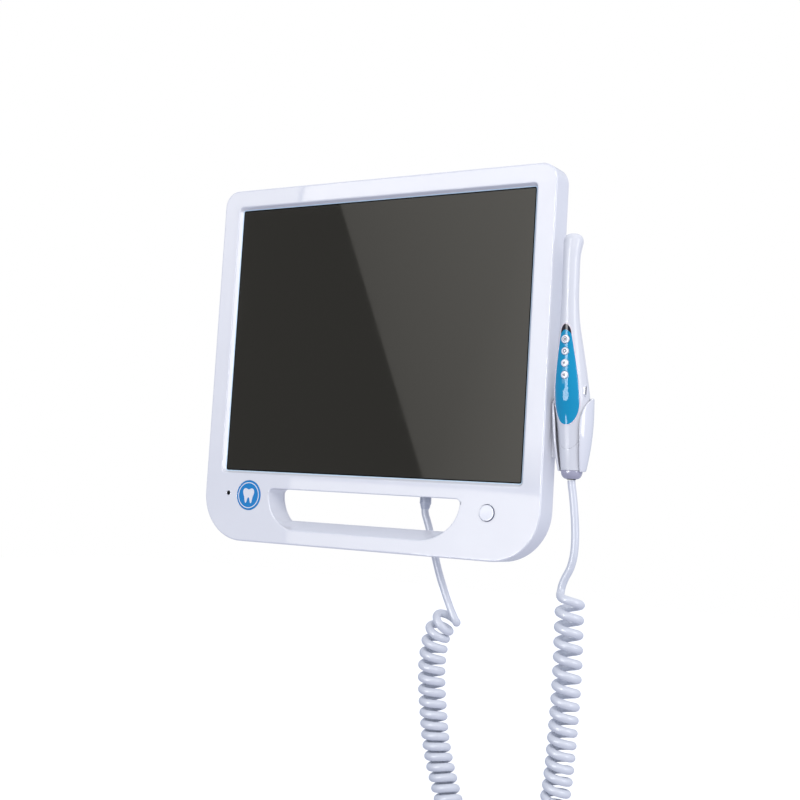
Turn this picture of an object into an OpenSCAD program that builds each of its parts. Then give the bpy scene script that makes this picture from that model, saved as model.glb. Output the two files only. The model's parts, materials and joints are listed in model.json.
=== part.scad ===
// Intraoral camera: a wall or arm mounted monitor with a hand wand in a cradle at its side.
// Frame: millimetres, origin at the centre of the mount pattern on the rear face,
// +X to the viewer's right, +Y to the rear, +Z up. The screen faces -Y.

/* [Housing] */
// Width of the monitor housing
housing_w = 382; // [378:1:390]
// Height of the top edge above the mount centre
housing_top = 156; // [155:1:162]
// Depth of the bottom edge below the mount centre
housing_bottom = 206.5; // [205:0.5:212]
// Depth from the front face to the mounting face
housing_depth = 50; // [50:1:54]
// Depth of the straight side band
band_depth = 25; // [25:1:28]
// Corner radius at the top of the housing
top_corner_r = 16; // [12:1:18]
// Corner radius at the bottom of the housing
bottom_corner_r = 48; // [40:1:50]
// Thickness of the moulded walls
wall = 3; // [2.5:0.5:3]

/* [Screen] */
// Width of the active area of the 17 inch panel
screen_w = 338; // [334:1:340]
// Height of the active area
screen_h = 270.4; // [266:0.2:272]
// Width of the sloping edge round the screen
bevel_w = 3; // [3:0.5:5]
// Depth of the screen behind the front face
screen_recess = 4.4; // [4:0.1:5]

/* [Handle slot] */
// Half width of the carrying slot
slot_half_w = 109.5; // [100:0.5:110]
// Top edge of the slot, below the mount centre
slot_top = 152; // [152:0.5:154]
// Bottom edge of the slot at the front, below the mount centre
slot_bottom = 192; // [188:0.5:192]
// Rise of the slot's floor from front to rear
slot_rise = 9; // [4:0.5:10]

/* [Rear hump] */
// Half width of the rear hump at its foot
hump_half_w = 158; // [150:1:160]
// Height of the hump's top above the mount centre
hump_top = 120; // [110:1:125]
// Depth of the hump's bottom below the mount centre
hump_bottom = 146; // [140:1:147]
// Spacing of the mount pattern
vesa_pitch = 100; // [75, 100]
// Radius of the mount pattern's tapped holes
vesa_hole_r = 2; // [2, 2.5]

/* [Controls] */
// Power button's place along X
power_x = 138; // [136:1:140]
// Power button's radius
power_r = 7.3; // [6:0.1:7.5]
// Inward travel of the power button
power_travel = 1.2; // [0.5:0.1:1.2]
// Round badge's radius
badge_r = 15; // [12:0.5:16]

/* [Wand] */
// Place of the wand's long axis along X
wand_x = 210.5; // [210.5:0.5:212]
// Thickness of the wand's moulded wall
wand_wall = 2; // [1.6:0.1:2]
// Radius of the wand's first button
first_button_r = 3.75; // [3:0.05:3.8]
// Radius of the wand's other buttons
button_r = 3.4; // [3:0.05:3.5]
// Inward travel of the wand's buttons
button_travel = 0.5; // [0.3:0.1:0.5]

/* [Cradle] */
// Greatest outer radius of the cradle
cradle_r = 18.6; // [18.2:0.1:18.6]
// Outer radius at the cradle's foot
cradle_foot_r = 12.4; // [12.4:0.1:13]
// Thickness of the cradle's wall
cradle_wall = 1.8; // [1.5:0.1:1.8]

/* [Cord] */
// Diameter of the cord
cord_d = 7; // [6:0.5:7]
// Outer radius of the curly part
curl_r = 13; // [12:0.5:13]

/* [Hidden] */
$fn = 48;
eps = 0.01;

front_y = -housing_depth;
seam_y = front_y + band_depth;
screen_y = front_y + screen_recess;
cover_y = seam_y + wall;
half_w = housing_w / 2;
inner_half_w = half_w - wall;

shell_white = [0.93, 0.94, 0.97];
board_green = [0.10, 0.36, 0.22];
steel = [0.70, 0.71, 0.73];
brass = [0.80, 0.65, 0.30];
dark = [0.09, 0.09, 0.10];

// The liquid crystal module, front to rear
module_w = 356;
module_h = 292;
glass_t = 2;
module_depth = 14;
plate_y = screen_y + module_depth;
plate_t = 1.4;
board_y = -24.4;
board_t = 1.6;

// Screws that hold the rear cover, as [x, z]
side_screw_x = half_w - 7;
cover_screw_at = [
    for (side = [-1, 1]) for (z = [128, 20, -88]) [side * side_screw_x, z],
    for (side = [-1, 1]) [side * 80, housing_top - 6.5],
    for (side = [-1, 1]) [side * 60, -housing_bottom + 7.2]
];
chassis_screw_at = [for (side = [-1, 1]) for (z = [108, -125]) [side * side_screw_x, z]];
vesa_at = [for (sx = [-1, 1]) for (sz = [-1, 1]) [sx * vesa_pitch / 2, sz * vesa_pitch / 2]];

// Places on the front face, as [x, z]
power_at = [power_x, -163];
power_proud = 1.3;
power_gap = 0.6;
ir_at = [-160.6, -158.7];
badge_at = [-134.5, -160];
keypad_screw_at = [for (side = [-1, 1]) power_at + [side * 15, 0]];

// Boards in the hump, as [x0, x1, z0, z1]
main_board_at = [-84, 84, -138, -66];
power_board_at = [72, 144, -56, 70];
board_inset = 5;

// Sockets in the hump's lower wall, all at the same depth
socket_y = -12;
power_socket_x = -66;
usb_socket_x = -36;
video_socket_x = -6;
camera_socket_x = 51;
plug_grip_r = 5.6;
plug_grip_bottom = -158;
plug_bottom = -163;

// The wand's outline from tail to head, as [z, y of its centre line, radius]
wand_outline = [
    [-121, -31.0, 9.8], [-108, -32.4, 11.0], [-90, -34.1, 12.5], [-72, -35.8, 14.4],
    [-58, -37.6, 15.8], [-46, -40.2, 15.1], [-30, -43.3, 13.5], [-15, -46.0, 11.7],
    [0, -48.8, 9.8], [14, -50.8, 8.4], [30, -52.2, 7.7], [50, -53.1, 7.6],
    [66, -53.2, 7.6], [74, -52.4, 8.2], [80, -51.0, 8.8]
];
wand_tail_z = -121;
head_z = 80;
head_top = 88;
head_flat_y = -43.6;
window_z = 79;
shell_tongue_z = -102.5;
shell_split_z = -84;

// The blue panel's outline, as [z, half width]
panel_outline = [
    [-81.6, 0.5], [-79.5, 5.0], [-75, 8.6], [-68, 10.9], [-58, 11.6], [-45, 11.1],
    [-30, 9.5], [-15, 7.3], [-4, 5.4], [2, 4.2], [5.2, 2.8], [6.5, 0.5]
];
panel_split_z = -1.5;
panel_depth = 1;
panel_proud = 0.25;

// Buttons down the panel, by height, and the switch board behind them
button_z = [-7.1, -17.6, -28, -38.4];
switch_board_y = -52.5;
switch_top_y = -54.6;
button_foot_y = switch_top_y - button_travel - 0.1;
button_proud = 0.7;
side_button_z = -51;
side_button_y = -42.9;

// The cradle's own axis leans back towards its foot
cradle_top_z = -57;
cradle_foot_z = -122;
cradle_bulge_z = -68;
cradle_top_y = -35.1;
cradle_lean = 4;
cradle_steps = 12;
holder_screw_y = -29;
holder_screw_z = [-75, -98];
wand_screw_z = [-22, -96];

// Cord routes, as [x, y, z]
wand_lead = [
    [210.5, -30.8, -129.6], [211, -30.6, -134], [212, -30.3, -140], [213.2, -30, -148],
    [214.5, -29.8, -158], [215.5, -29.5, -168], [216.1, -29.2, -178], [216.1, -29, -187],
    [215.2, -28.7, -197], [212.4, -28.4, -207.5], [208, -28.1, -216], [205, -27.8, -224], [204.6, -27.9, -231]
];
plug_lead = [
    [51, -12, -163], [51, -12, -165.4], [51.9, -12, -169], [53.9, -11.9, -174], [57, -11.6, -182.5],
    [60.7, -11.3, -195], [65, -11, -209], [69.8, -10.8, -223], [75.2, -10.7, -236], [80.7, -10.6, -248],
    [85, -10.6, -256.5], [87.8, -10.6, -261]
];
coil_route = [
    [214, -28.4, -231], [213.9, -28.4, -260], [214.4, -28.4, -290], [214, -28.4, -320],
    [212.9, -28.4, -350], [211.4, -28.3, -380], [208.5, -27.9, -408], [203, -26.8, -434],
    [194, -25.0, -457], [180.5, -22.6, -475], [163, -19.8, -486], [143, -17.2, -487.5],
    [124, -14.8, -478], [109, -13.0, -461], [98, -11.8, -440], [89, -11.0, -418],
    [81.2, -10.7, -396], [75.5, -10.6, -374], [71.9, -10.6, -352], [69, -10.6, -331.5],
    [67.6, -10.6, -310.5], [69.2, -10.6, -290], [73.2, -10.6, -275.5], [83.5, -10.6, -261.5]
];
coil_wand_last = 6;
coil_bottom_last = 16;

// ---- functions ----

// Smooth value through a table of rows [z, a, b, ...], for column c
function row_index(t, z, i = 0) = i >= len(t) - 2 || z < t[i + 1][0] ? i : row_index(t, z, i + 1);
function row_slope(t, i, c) = let (a = max(0, i - 1), b = min(len(t) - 1, i + 1))
    (t[b][c] - t[a][c]) / (t[b][0] - t[a][0]);
function blend_rows(t, i, u, c) = let (h = t[i + 1][0] - t[i][0], u2 = u * u, u3 = u2 * u)
    (2 * u3 - 3 * u2 + 1) * t[i][c] + (u3 - 2 * u2 + u) * h * row_slope(t, i, c)
    + (3 * u2 - 2 * u3) * t[i + 1][c] + (u3 - u2) * h * row_slope(t, i + 1, c);
function smooth(t, z, c) = let (i = row_index(t, z)) blend_rows(t, i, (z - t[i][0]) / (t[i + 1][0] - t[i][0]), c);

// The wand's centre line and radius at a height, with the head's dome on top
function wand_y(z) = smooth(wand_outline, min(z, head_z), 1);
function dome(z) = z <= head_z ? 1 : pow(1 - pow((z - head_z) / (head_top - head_z), 2.6), 1 / 2.6);
function wand_r(z) = smooth(wand_outline, min(z, head_z), 2) * dome(min(z, head_top - 0.02));

// The wand's rearmost and foremost surface at a height
function back_y(z) = wand_y(z) + wand_r(z);
function front_skin_y(z) = wand_y(z) - wand_r(z);

// A point of the wand at a height, an angle from the front and a depth under its skin
function wand_point(z, angle, depth) = let (r = max(0.3, wand_r(z) - depth))
    [wand_x + r * sin(angle), wand_y(z) - r * cos(angle), z];

// The cradle's outer radius at a height
function cradle_out(z) = z > cradle_bulge_z ? cradle_r
    : cradle_r - (cradle_r - cradle_foot_r) * pow((cradle_bulge_z - z) / (cradle_bulge_z - cradle_foot_z), 2);

// The screws that hold the boards, at each board's corners
function corners(b) = [for (x = [b[0] + board_inset, b[1] - board_inset])
    for (z = [b[2] + board_inset, b[3] - board_inset]) [x, z]];
board_screw_at = concat(corners(main_board_at), corners(power_board_at));

// Frames along a route
function unit(v) = v / norm(v);
function tangent(p, i) = unit(p[min(i + 1, len(p) - 1)] - p[max(i - 1, 0)]);
function side_of(t) = unit(cross(t, [0, 1, 0]));
function ring(centre, t, r, n) = let (s = side_of(t), u = cross(s, t))
    [for (k = [0:n - 1]) centre + r * (cos(360 * k / n) * s + sin(360 * k / n) * u)];

// ---- shapes that repeat ----

// Square corners rounded one by one: bottom left, bottom right, top right, top left
module rounded(x0, x1, z0, z1, r) {
    difference() {
        translate([x0, z0]) square([x1 - x0, z1 - z0]);
        corner_cut(x0, z0, 1, 1, r[0]);
        corner_cut(x1, z0, -1, 1, r[1]);
        corner_cut(x1, z1, -1, -1, r[2]);
        corner_cut(x0, z1, 1, -1, r[3]);
    }
}

module corner_cut(x, z, dx, dz, r) {
    difference() {
        translate([x + (dx > 0 ? -1 : -r), z + (dz > 0 ? -1 : -r)]) square(r + 1);
        translate([x + dx * r, z + dz * r]) circle(r, $fn = 64);
    }
}

// An upright shape drawn in X and Z, between two depths
module slab(y0, y1) {
    translate([0, y1, 0]) rotate([90, 0, 0]) linear_extrude(y1 - y0) children();
}

// A shape drawn in Y and Z, between two places along X
module cross_slab(x0, x1) {
    translate([x0, 0, 0]) rotate([90, 0, 90]) linear_extrude(x1 - x0) children();
}

module rod_y(at, y0, y1, r) {
    translate([at[0], y0, at[1]]) rotate([-90, 0, 0]) cylinder(h = y1 - y0, r = r);
}

module rod_z(x, y, z0, z1, r) {
    translate([x, y, z0]) cylinder(h = z1 - z0, r = r);
}

module box(x0, x1, y0, y1, z0, z1) {
    translate([x0, y0, z0]) cube([x1 - x0, y1 - y0, z1 - z0]);
}

// A pan head screw along Y whose head sits on y and whose tip points to the front
module screw_y(at, y, head_r, head_h, r, length) {
    rod_y(at, y - length, y, r);
    rod_y(at, y, y + head_h, head_r);
}

module housing_outline(inset = 0) {
    rb = bottom_corner_r - inset;
    rt = top_corner_r - inset;
    rounded(-half_w + inset, half_w - inset, -housing_bottom + inset, housing_top - inset, [rb, rb, rt, rt]);
}

module slot_outline(grow = 0) {
    rounded(-slot_half_w - grow, slot_half_w + grow, -slot_bottom - grow, -slot_top + grow,
        [36 + grow, 38 + grow, 5 + grow, 5 + grow]);
}

module hump_outline(inset) {
    r = 26 - inset;
    rounded(-hump_half_w + inset, hump_half_w - inset, -hump_bottom + min(inset, wall), hump_top - inset,
        [10, 10, r, r]);
}

// A tube swept along part of a route, from one point to another
module tube(path, r, sides, first, last) {
    rings = [for (i = [first:last]) ring(path[i], tangent(path, i), r, sides)];
    loft(rings);
}

// A closed solid through a list of rings with the same number of points
module loft(rings) {
    n = len(rings[0]);
    m = len(rings);
    points = [for (r = rings) each r];
    sides = [for (i = [0:m - 2]) for (k = [0:n - 1]) let (j = (k + 1) % n)
        each [[i * n + k, (i + 1) * n + j, i * n + j], [i * n + k, (i + 1) * n + k, (i + 1) * n + j]]];
    caps = [[for (k = [0:n - 1]) k], [for (k = [n - 1:-1:0]) (m - 1) * n + k]];
    polyhedron(points = points, faces = concat(sides, caps), convexity = 10);
}

// A ring between two angles and two depths under the wand's skin
function wand_arc(z, a0, a1, d0, d1, n) = concat(
    [for (k = [0:n]) wand_point(z, a0 + (a1 - a0) * k / n, d0)],
    [for (k = [n:-1:0]) wand_point(z, a0 + (a1 - a0) * k / n, d1)]);

// Half the angle that the front shell covers at a height
function front_angle(z) = z > shell_split_z ? 90
    : 90 * pow(max(0.0004, (z - shell_tongue_z) / (shell_split_z - shell_tongue_z)), 0.5);

shell_heights = [-72, -58, -46, -30, -15, 0, 14, 30, 50, 66, 74, 80, 83.5, 86, 87.5];
tongue_heights = [-102.5, -101.5, -99, -95, -90];
panel_heights = [-81.6, -79.5, -75, -68, -58, -45, -30, -15, -8];
window_heights = [-1.5, 1, 3.4, 5.2, 6.5];

// A strip of the panel between two depths, widened by grow
module panel_strip(heights, d0, d1, grow) {
    loft([for (z = heights) let (a = asin((smooth(panel_outline, z, 1) + grow) / wand_r(z)))
        wand_arc(z, -a, a, d0, d1, 8)]);
}

// ---- monitor ----

module front_bezel() color(shell_white) {
    boss_r = 3;
    difference() {
        union() {
            difference() {
                slab(front_y, seam_y) housing_outline();
                slab(front_y + wall, seam_y + 1) housing_outline(wall);
            }
            slab(front_y, screen_y)
                rounded(-screen_w / 2 - 9, screen_w / 2 + 9, -screen_h / 2 - 9, screen_h / 2 + 9, [5, 5, 5, 5]);
            slab(front_y, seam_y) slot_outline(wall);
            for (at = cover_screw_at) rod_y(at, front_y + 1, seam_y, boss_r);
            for (at = chassis_screw_at) rod_y(at, front_y + 1, plate_y, boss_r);
            for (at = keypad_screw_at) rod_y(at, front_y + 1, -39, 2.5);
            for (z = holder_screw_z) translate([inner_half_w - 7, holder_screw_y, z]) rotate([0, 90, 0])
                cylinder(h = 8, r = 3.8);
        }
        screen_window();
        slab(front_y - 1, seam_y + 1) slot_outline();
        rod_y(power_at, front_y - 1, front_y + wall + 1, power_r + power_gap);
        rod_y(ir_at, front_y - 1, front_y + wall + 1, 2.3);
        rod_y(badge_at, front_y - 1, front_y + 0.5, badge_r + 0.15);
        for (at = concat(cover_screw_at, chassis_screw_at)) rod_y(at, front_y + 8, seam_y + 1, 1.3);
        for (at = keypad_screw_at) rod_y(at, front_y + 4, -38, 1);
        for (z = holder_screw_z) translate([inner_half_w - 8, holder_screw_y, z]) rotate([0, 90, 0])
            cylinder(h = 20, r = 1.5);
    }
    slot_floor();
}

// The opening over the screen, wider at the front face
module screen_window() {
    a = screen_w / 2;
    b = screen_h / 2;
    k = 1 + 1 / screen_recess;
    big_a = a + bevel_w * k;
    big_b = b + bevel_w * k;
    polyhedron(
        points = [
            [-a, screen_y, -b], [a, screen_y, -b], [a, screen_y, b], [-a, screen_y, b],
            [-big_a, front_y - 1, -big_b], [big_a, front_y - 1, -big_b],
            [big_a, front_y - 1, big_b], [-big_a, front_y - 1, big_b]
        ],
        faces = [[0, 1, 2, 3], [7, 6, 5, 4], [4, 5, 1, 0], [5, 6, 2, 1], [6, 7, 3, 2], [7, 4, 0, 3]]
    );
}

// The slot's floor climbs towards the rear
module slot_floor() {
    intersection() {
        slab(front_y, seam_y) slot_outline(0.5);
        cross_slab(-slot_half_w - 1, slot_half_w + 1) polygon([
            [front_y + 0.5, -slot_bottom - 1], [seam_y, -slot_bottom - 1],
            [seam_y, -slot_bottom + slot_rise], [front_y + 0.5, -slot_bottom]
        ]);
    }
}

module rear_cover() color(shell_white) {
    difference() {
        union() {
            slab(seam_y, cover_y) housing_outline(1);
            hull() {
                slab(seam_y, cover_y) hump_outline(0);
                slab(-5, -4) hump_outline(9);
            }
            hull() {
                slab(-5, -4) hump_outline(9);
                slab(-1, 0) hump_outline(13);
            }
        }
        slab(seam_y - 1, cover_y + 1) intersection() {
            slot_outline();
            translate([-slot_half_w, -slot_bottom + slot_rise]) square([2 * slot_half_w, slot_bottom]);
        }
        hull() {
            slab(seam_y - 1, cover_y) hump_outline(wall);
            slab(-5, -wall) hump_outline(9 + wall);
        }
        for (at = cover_screw_at) rod_y(at, seam_y - 1, cover_y + 1, 1.5);
        for (at = vesa_at) rod_y(at, -10, 1, 5.1);
        for (i = [-7:7]) box(i * 12 - 2, i * 12 + 2, -10, 1, 72, 96);
        for (i = [-3:3]) box(i * 12 - 2, i * 12 + 2, -10, 1, -118, -96);
        box(power_socket_x - 5, power_socket_x + 5, socket_y - 6, socket_y + 6,
            -hump_bottom - 1, -hump_bottom + 4);
        for (x = [usb_socket_x, video_socket_x])
            box(x - 8, x + 8, socket_y - 4, socket_y + 4, -hump_bottom - 1, -hump_bottom + 4);
        rod_z(camera_socket_x, socket_y, -hump_bottom - 1, -hump_bottom + 4, 7.1);
    }
}

module rear_cover_screws() color(steel) {
    for (at = cover_screw_at) screw_y(at, cover_y, 2.6, 1.5, 1.25, 12);
}

module centred_slab(w, h, y0, y1) {
    slab(y0, y1) translate([-w / 2, -h / 2]) square([w, h]);
}

module lcd_glass() color([0.12, 0.12, 0.12]) {
    centred_slab(module_w - 4, module_h - 4, screen_y, screen_y + glass_t);
}

module diffuser_sheets() color([0.95, 0.95, 0.93]) {
    centred_slab(346, 280, screen_y + 2.6, screen_y + 4.6);
}

module light_guide() color([0.85, 0.90, 0.95]) {
    slab(screen_y + 5, screen_y + 11) translate([-173, -136]) square([346, 276]);
}

module led_bar() color([0.95, 0.95, 0.80]) {
    slab(screen_y + 5, screen_y + 11) translate([-170, -141]) square([340, 4]);
}

module lcd_tray() color(steel) {
    difference() {
        centred_slab(module_w, module_h, screen_y + glass_t, plate_y);
        centred_slab(module_w - 2, module_h - 2, screen_y + glass_t - 1, plate_y - 1);
    }
}

module chassis_plate() color(steel) {
    difference() {
        union() {
            centred_slab(346, 276, plate_y, plate_y + plate_t);
            for (at = chassis_screw_at) slab(plate_y, plate_y + plate_t)
                translate([min(at[0], 0) < 0 ? -inner_half_w + 1 : 170, at[1] - 7]) square([17, 14]);
        }
        for (at = chassis_screw_at) rod_y(at, plate_y - 1, plate_y + plate_t + 1, 1.6);
        for (sx = [-1, 1]) for (sz = [-1, 1]) slab(plate_y - 1, plate_y + plate_t + 1)
            rounded(sx * 110 - 25, sx * 110 + 25, sz * 85 - 22, sz * 85 + 22, [6, 6, 6, 6]);
    }
}

module chassis_screws() color(steel) {
    for (at = chassis_screw_at) screw_y(at, plate_y + plate_t, 3, 1.6, 1.25, 9);
}

module vesa_bushes() color(brass) {
    for (at = vesa_at) difference() {
        rod_y(at, plate_y + plate_t, 0, 5);
        rod_y(at, plate_y + plate_t - 1, 1, vesa_hole_r);
    }
}

// A circuit board with a hole at each corner
module board(b) {
    difference() {
        slab(board_y, board_y + board_t) translate([b[0], b[2]]) square([b[1] - b[0], b[3] - b[2]]);
        for (at = corners(b)) rod_y(at, board_y - 1, board_y + board_t + 1, 1.6);
    }
}

module main_board() color(board_green) board(main_board_at);

module power_board() color(board_green) board(power_board_at);

module main_board_chips() color(dark) {
    y = board_y + board_t;
    box(-8, 16, y, y + 2.4, -112, -88);
    box(30, 44, y, y + 1.8, -110, -96);
    box(30, 44, y, y + 1.8, -90, -76);
    box(-40, -28, y, y + 1.6, -104, -84);
    for (i = [0:3]) box(-70 + 10 * i, -64 + 10 * i, y, y + 2, -80, -74);
    for (i = [0:2]) rod_y([64, -120 + 14 * i], y, y + 7, 3.5);
}

module heat_sink() color([0.60, 0.62, 0.65]) {
    y = board_y + board_t + 2.4;
    box(-10, 18, y, y + 2, -114, -86);
    for (i = [0:6]) box(-10 + 4.5 * i, -9 + 4.5 * i, y + 2, y + 10, -114, -86);
}

module power_board_parts() color([0.15, 0.15, 0.18]) {
    y = board_y + board_t;
    box(84, 110, y, y + 14, 24, 48);
    for (i = [0:3]) rod_y([84 + 14 * i, 4], y, y + 13, 5);
    box(90, 120, y, y + 8, -42, -24);
    box(124, 134, y, y + 10, 22, 50);
}

module board_standoffs() color(brass) {
    for (at = board_screw_at) difference() {
        rod_y(at, plate_y + plate_t, board_y, 2.8);
        rod_y(at, plate_y + plate_t + 1, board_y + 1, 1.3);
    }
}

module board_screws() color(steel) {
    for (at = board_screw_at) screw_y(at, board_y + board_t, 2.6, 1.4, 1.25, 4);
}

module power_socket() color(dark) {
    z0 = -hump_bottom;
    difference() {
        box(power_socket_x - 4.8, power_socket_x + 4.8, socket_y - 5.8, socket_y + 5.8, z0, z0 + 14);
        rod_z(power_socket_x, socket_y, z0 - 1, z0 + 10, 2.9);
    }
    rod_z(power_socket_x, socket_y, z0 + 3, z0 + 11, 0.9);
}

// A rectangular socket that opens downwards, with its contact tongue
module port(x, w, t, depth) {
    z0 = -hump_bottom;
    difference() {
        box(x - 7.8, x + 7.8, socket_y - 3.8, socket_y + 3.8, z0, z0 + depth + 2);
        box(x - w / 2, x + w / 2, socket_y - t / 2, socket_y + t / 2, z0 - 1, z0 + depth);
    }
}

module usb_socket() color(steel) port(usb_socket_x, 12.4, 5, 12);

module video_socket() color(steel) port(video_socket_x, 14.2, 4.8, 10);

module camera_socket() color(steel) {
    difference() {
        union() {
            rod_z(camera_socket_x, socket_y, -hump_bottom - 1.5, -hump_bottom, 8.5);
            rod_z(camera_socket_x, socket_y, -hump_bottom - 1, -hump_bottom + 14, 7);
        }
        rod_z(camera_socket_x, socket_y, -hump_bottom - 2, -hump_bottom + 11, 5.5);
    }
}

module camera_plug() color([0.80, 0.82, 0.86]) {
    rod_z(camera_socket_x, socket_y, -hump_bottom - 1.5, -hump_bottom + 9, 5.45);
    rod_z(camera_socket_x, socket_y, plug_grip_bottom, -hump_bottom - 1.5, plug_grip_r);
}

module plug_strain_relief() color([0.80, 0.82, 0.86]) {
    translate([camera_socket_x, socket_y, plug_bottom])
        cylinder(h = plug_grip_bottom - plug_bottom, r1 = 4.1, r2 = 5.2);
}

module keypad_board() color(board_green) {
    difference() {
        slab(-39, -37.6) translate([power_at[0] - 19, power_at[1] - 8]) square([38, 16]);
        for (at = keypad_screw_at) rod_y(at, -40, -37, 1.2);
    }
}

module power_switch() color(dark) {
    box(power_at[0] - 3, power_at[0] + 3, -41.6, -39, power_at[1] - 3, power_at[1] + 3);
    rod_y(power_at, -42.2, -41.6, 1.7);
}

module power_button() color([0.96, 0.96, 0.98]) {
    rod_y(power_at, front_y - power_proud, front_y + wall + 0.6, power_r);
    rod_y(power_at, front_y + wall + 0.1, front_y + wall + 1.1, power_r + 1.4);
    rod_y(power_at, front_y + wall, -42.3 - power_travel, 2.5);
}

module ir_board() color(board_green) {
    slab(-45, -43.8) translate([ir_at[0] - 7, ir_at[1] - 7]) square([14, 14]);
}

module ir_lens() color(dark) {
    rod_y(ir_at, front_y - 0.2, -45, 2);
}

module badge() color([0.10, 0.42, 0.72]) {
    rod_y(badge_at, front_y - 0.2, front_y + 0.5, badge_r);
}

// ---- cradle ----

// The cradle's wall in radius and height, between two radii under its skin
module cradle_profile(z0, z1, d0, d1) {
    heights = [for (i = [0:cradle_steps]) z0 + (z1 - z0) * i / cradle_steps];
    polygon(concat(
        [for (z = heights) [cradle_out(z) - d0, z - cradle_top_z]],
        [for (i = [cradle_steps:-1:0]) [cradle_out(heights[i]) - d1, heights[i] - cradle_top_z]]
    ));
}

module on_cradle_axis() {
    translate([wand_x, cradle_top_y, cradle_top_z]) rotate([cradle_lean, 0, 0]) children();
}

module wand_holder() color(shell_white) {
    difference() {
        on_cradle_axis() difference() {
            rotate_extrude($fn = 96) cradle_profile(cradle_foot_z, cradle_top_z, 0, cradle_wall);
            cradle_mouth();
        }
        for (z = holder_screw_z) translate([half_w - 1, holder_screw_y, z]) rotate([0, 90, 0])
            cylinder(h = 14, r = 1.6);
    }
}

// The open front, narrow at the foot and flaring to the full width at the top
module cradle_mouth() {
    edge = [[10.4, -70], [11.4, -50], [12.3, -34], [12.4, -24], [13.2, -17.5], [14.6, -11.5], [16.6, -6], [20, 1]];
    last = len(edge) - 1;
    slab(-30, 0) polygon(concat(edge, [for (i = [last:-1:0]) [-edge[i][0], edge[i][1]]]));
}

module holder_bracket() color(shell_white) {
    difference() {
        box(half_w, half_w + 12, -33, -25.2, -110, -64);
        on_cradle_axis() rotate_extrude($fn = 96) polygon(concat([[0, -70], [0, 5]],
            [for (i = [0:cradle_steps]) let (z = cradle_top_z + 5 - i * 75 / cradle_steps)
                [cradle_out(z) + 0.02, z - cradle_top_z]]));
        for (z = holder_screw_z) translate([half_w - 1, holder_screw_y, z]) rotate([0, 90, 0])
            cylinder(h = 14, r = 1.6);
    }
}

module holder_pad() color([0.55, 0.57, 0.62]) {
    on_cradle_axis() rotate([0, 0, 50]) rotate_extrude(angle = 80, $fn = 96)
        cradle_profile(-100, -62, cradle_wall + 0.02, cradle_wall + 2);
}

module holder_screws() color(steel) {
    for (z = holder_screw_z) {
        translate([inner_half_w - 6, holder_screw_y, z]) rotate([0, 90, 0]) cylinder(h = 13, r = 1.4);
    }
}

// ---- wand ----

module front_half() {
    loft([for (z = concat(tongue_heights, [shell_split_z], shell_heights))
        wand_arc(z, -front_angle(z), front_angle(z), 0, wand_wall, 16)]);
}

module rear_half() {
    loft([for (z = concat(tongue_heights, [shell_split_z], shell_heights))
        wand_arc(z, front_angle(z), 360 - front_angle(z), 0, wand_wall, 24)]);
    difference() {
        tail_part(wand_tail_z, shell_tongue_z + 0.3, 0);
        tail_part(wand_tail_z - 1, shell_tongue_z + 1, wand_wall);
    }
}

// The tail of the wand as a solid, at a depth under its skin
module tail_part(z0, z1, depth) {
    loft([for (i = [0:5]) let (z = z0 + (z1 - z0) * i / 5)
        [for (k = [0:47]) wand_point(z, 7.5 * k, depth)]]);
}

module wand_front_shell() color(shell_white) {
    difference() {
        front_half();
        panel_strip(concat(panel_heights, [-1.5, 1, 3.4, 5.2, 6.8]), -3, panel_depth + 0.1, 0.15);
        for (i = [0:3]) rod_y([wand_x, button_z[i]], -62, -50, 2.2);
        side_slot(2.75 + 0.1, 5.3 + 0.1, 8, 18);
    }
}

module wand_rear_shell() color(shell_white) {
    difference() {
        union() {
            rear_half();
            for (z = wand_screw_z) rod_y([wand_x, z], back_y(z) - 6, back_y(z) - 1.2, 3);
        }
        box(wand_x - 8, wand_x + 8, head_flat_y, -38, 70, 90);
        rod_y([wand_x, window_z], -47, -42, 4.3);
        for (z = wand_screw_z) {
            rod_y([wand_x, z], back_y(z) - 2.4, back_y(z) + 3, 2.1);
            rod_y([wand_x, z], back_y(z) - 7, back_y(z), 1);
        }
    }
}

module wand_screws() color(steel) {
    for (z = wand_screw_z) screw_y([wand_x, z], back_y(z) - 2.4, 1.9, 1.3, 0.95, 7);
}

module button_panel() color([0.0, 0.56, 0.78]) {
    difference() {
        panel_strip(concat(panel_heights, [panel_split_z]), -panel_proud, panel_depth, 0);
        for (i = [0:3]) rod_y([wand_x, button_z[i]], -62, -50, button_radius(i) + 0.3);
    }
}

module panel_window() color(dark) {
    panel_strip(window_heights, -panel_proud, panel_depth, 0);
}

function button_radius(i) = i == 0 ? first_button_r : button_r;

// A round button on the panel, with the stem that reaches its switch
module wand_button(i) {
    z = button_z[i];
    skin = front_skin_y(z) - panel_proud;
    rod_y([wand_x, z], skin - button_proud, skin + 0.5, button_radius(i));
    rod_y([wand_x, z], skin, button_foot_y, 1.6);
}

module capture_button() color("white") wand_button(0);
module freeze_button() color("white") wand_button(1);
module next_button() color("white") wand_button(2);
module previous_button() color("white") wand_button(3);

// An upright oval between two distances from the wand's axis
module side_slot(half_y, half_z, x0, x1) {
    cross_slab(wand_x + x0, wand_x + x1) translate([side_button_y, side_button_z]) {
        translate([-half_y, -half_z + half_y]) square([2 * half_y, 2 * (half_z - half_y)]);
        for (s = [-1, 1]) translate([0, s * (half_z - half_y)]) circle(half_y);
    }
}

module side_button() color(dark) {
    side_slot(1.5, 4.1, 12.2, 15.3);
    side_slot(2.3, 4.9, 11.6, 12.6);
}

module side_button_rim() color("white") {
    difference() {
        side_slot(2.75, 5.3, 12.8, 15.5);
        side_slot(1.85, 4.45, 12, 17);
    }
}

module head_window() color([0.55, 0.60, 0.70]) {
    rod_y([wand_x, window_z], head_flat_y - 1, head_flat_y, 4.2);
}

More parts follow.
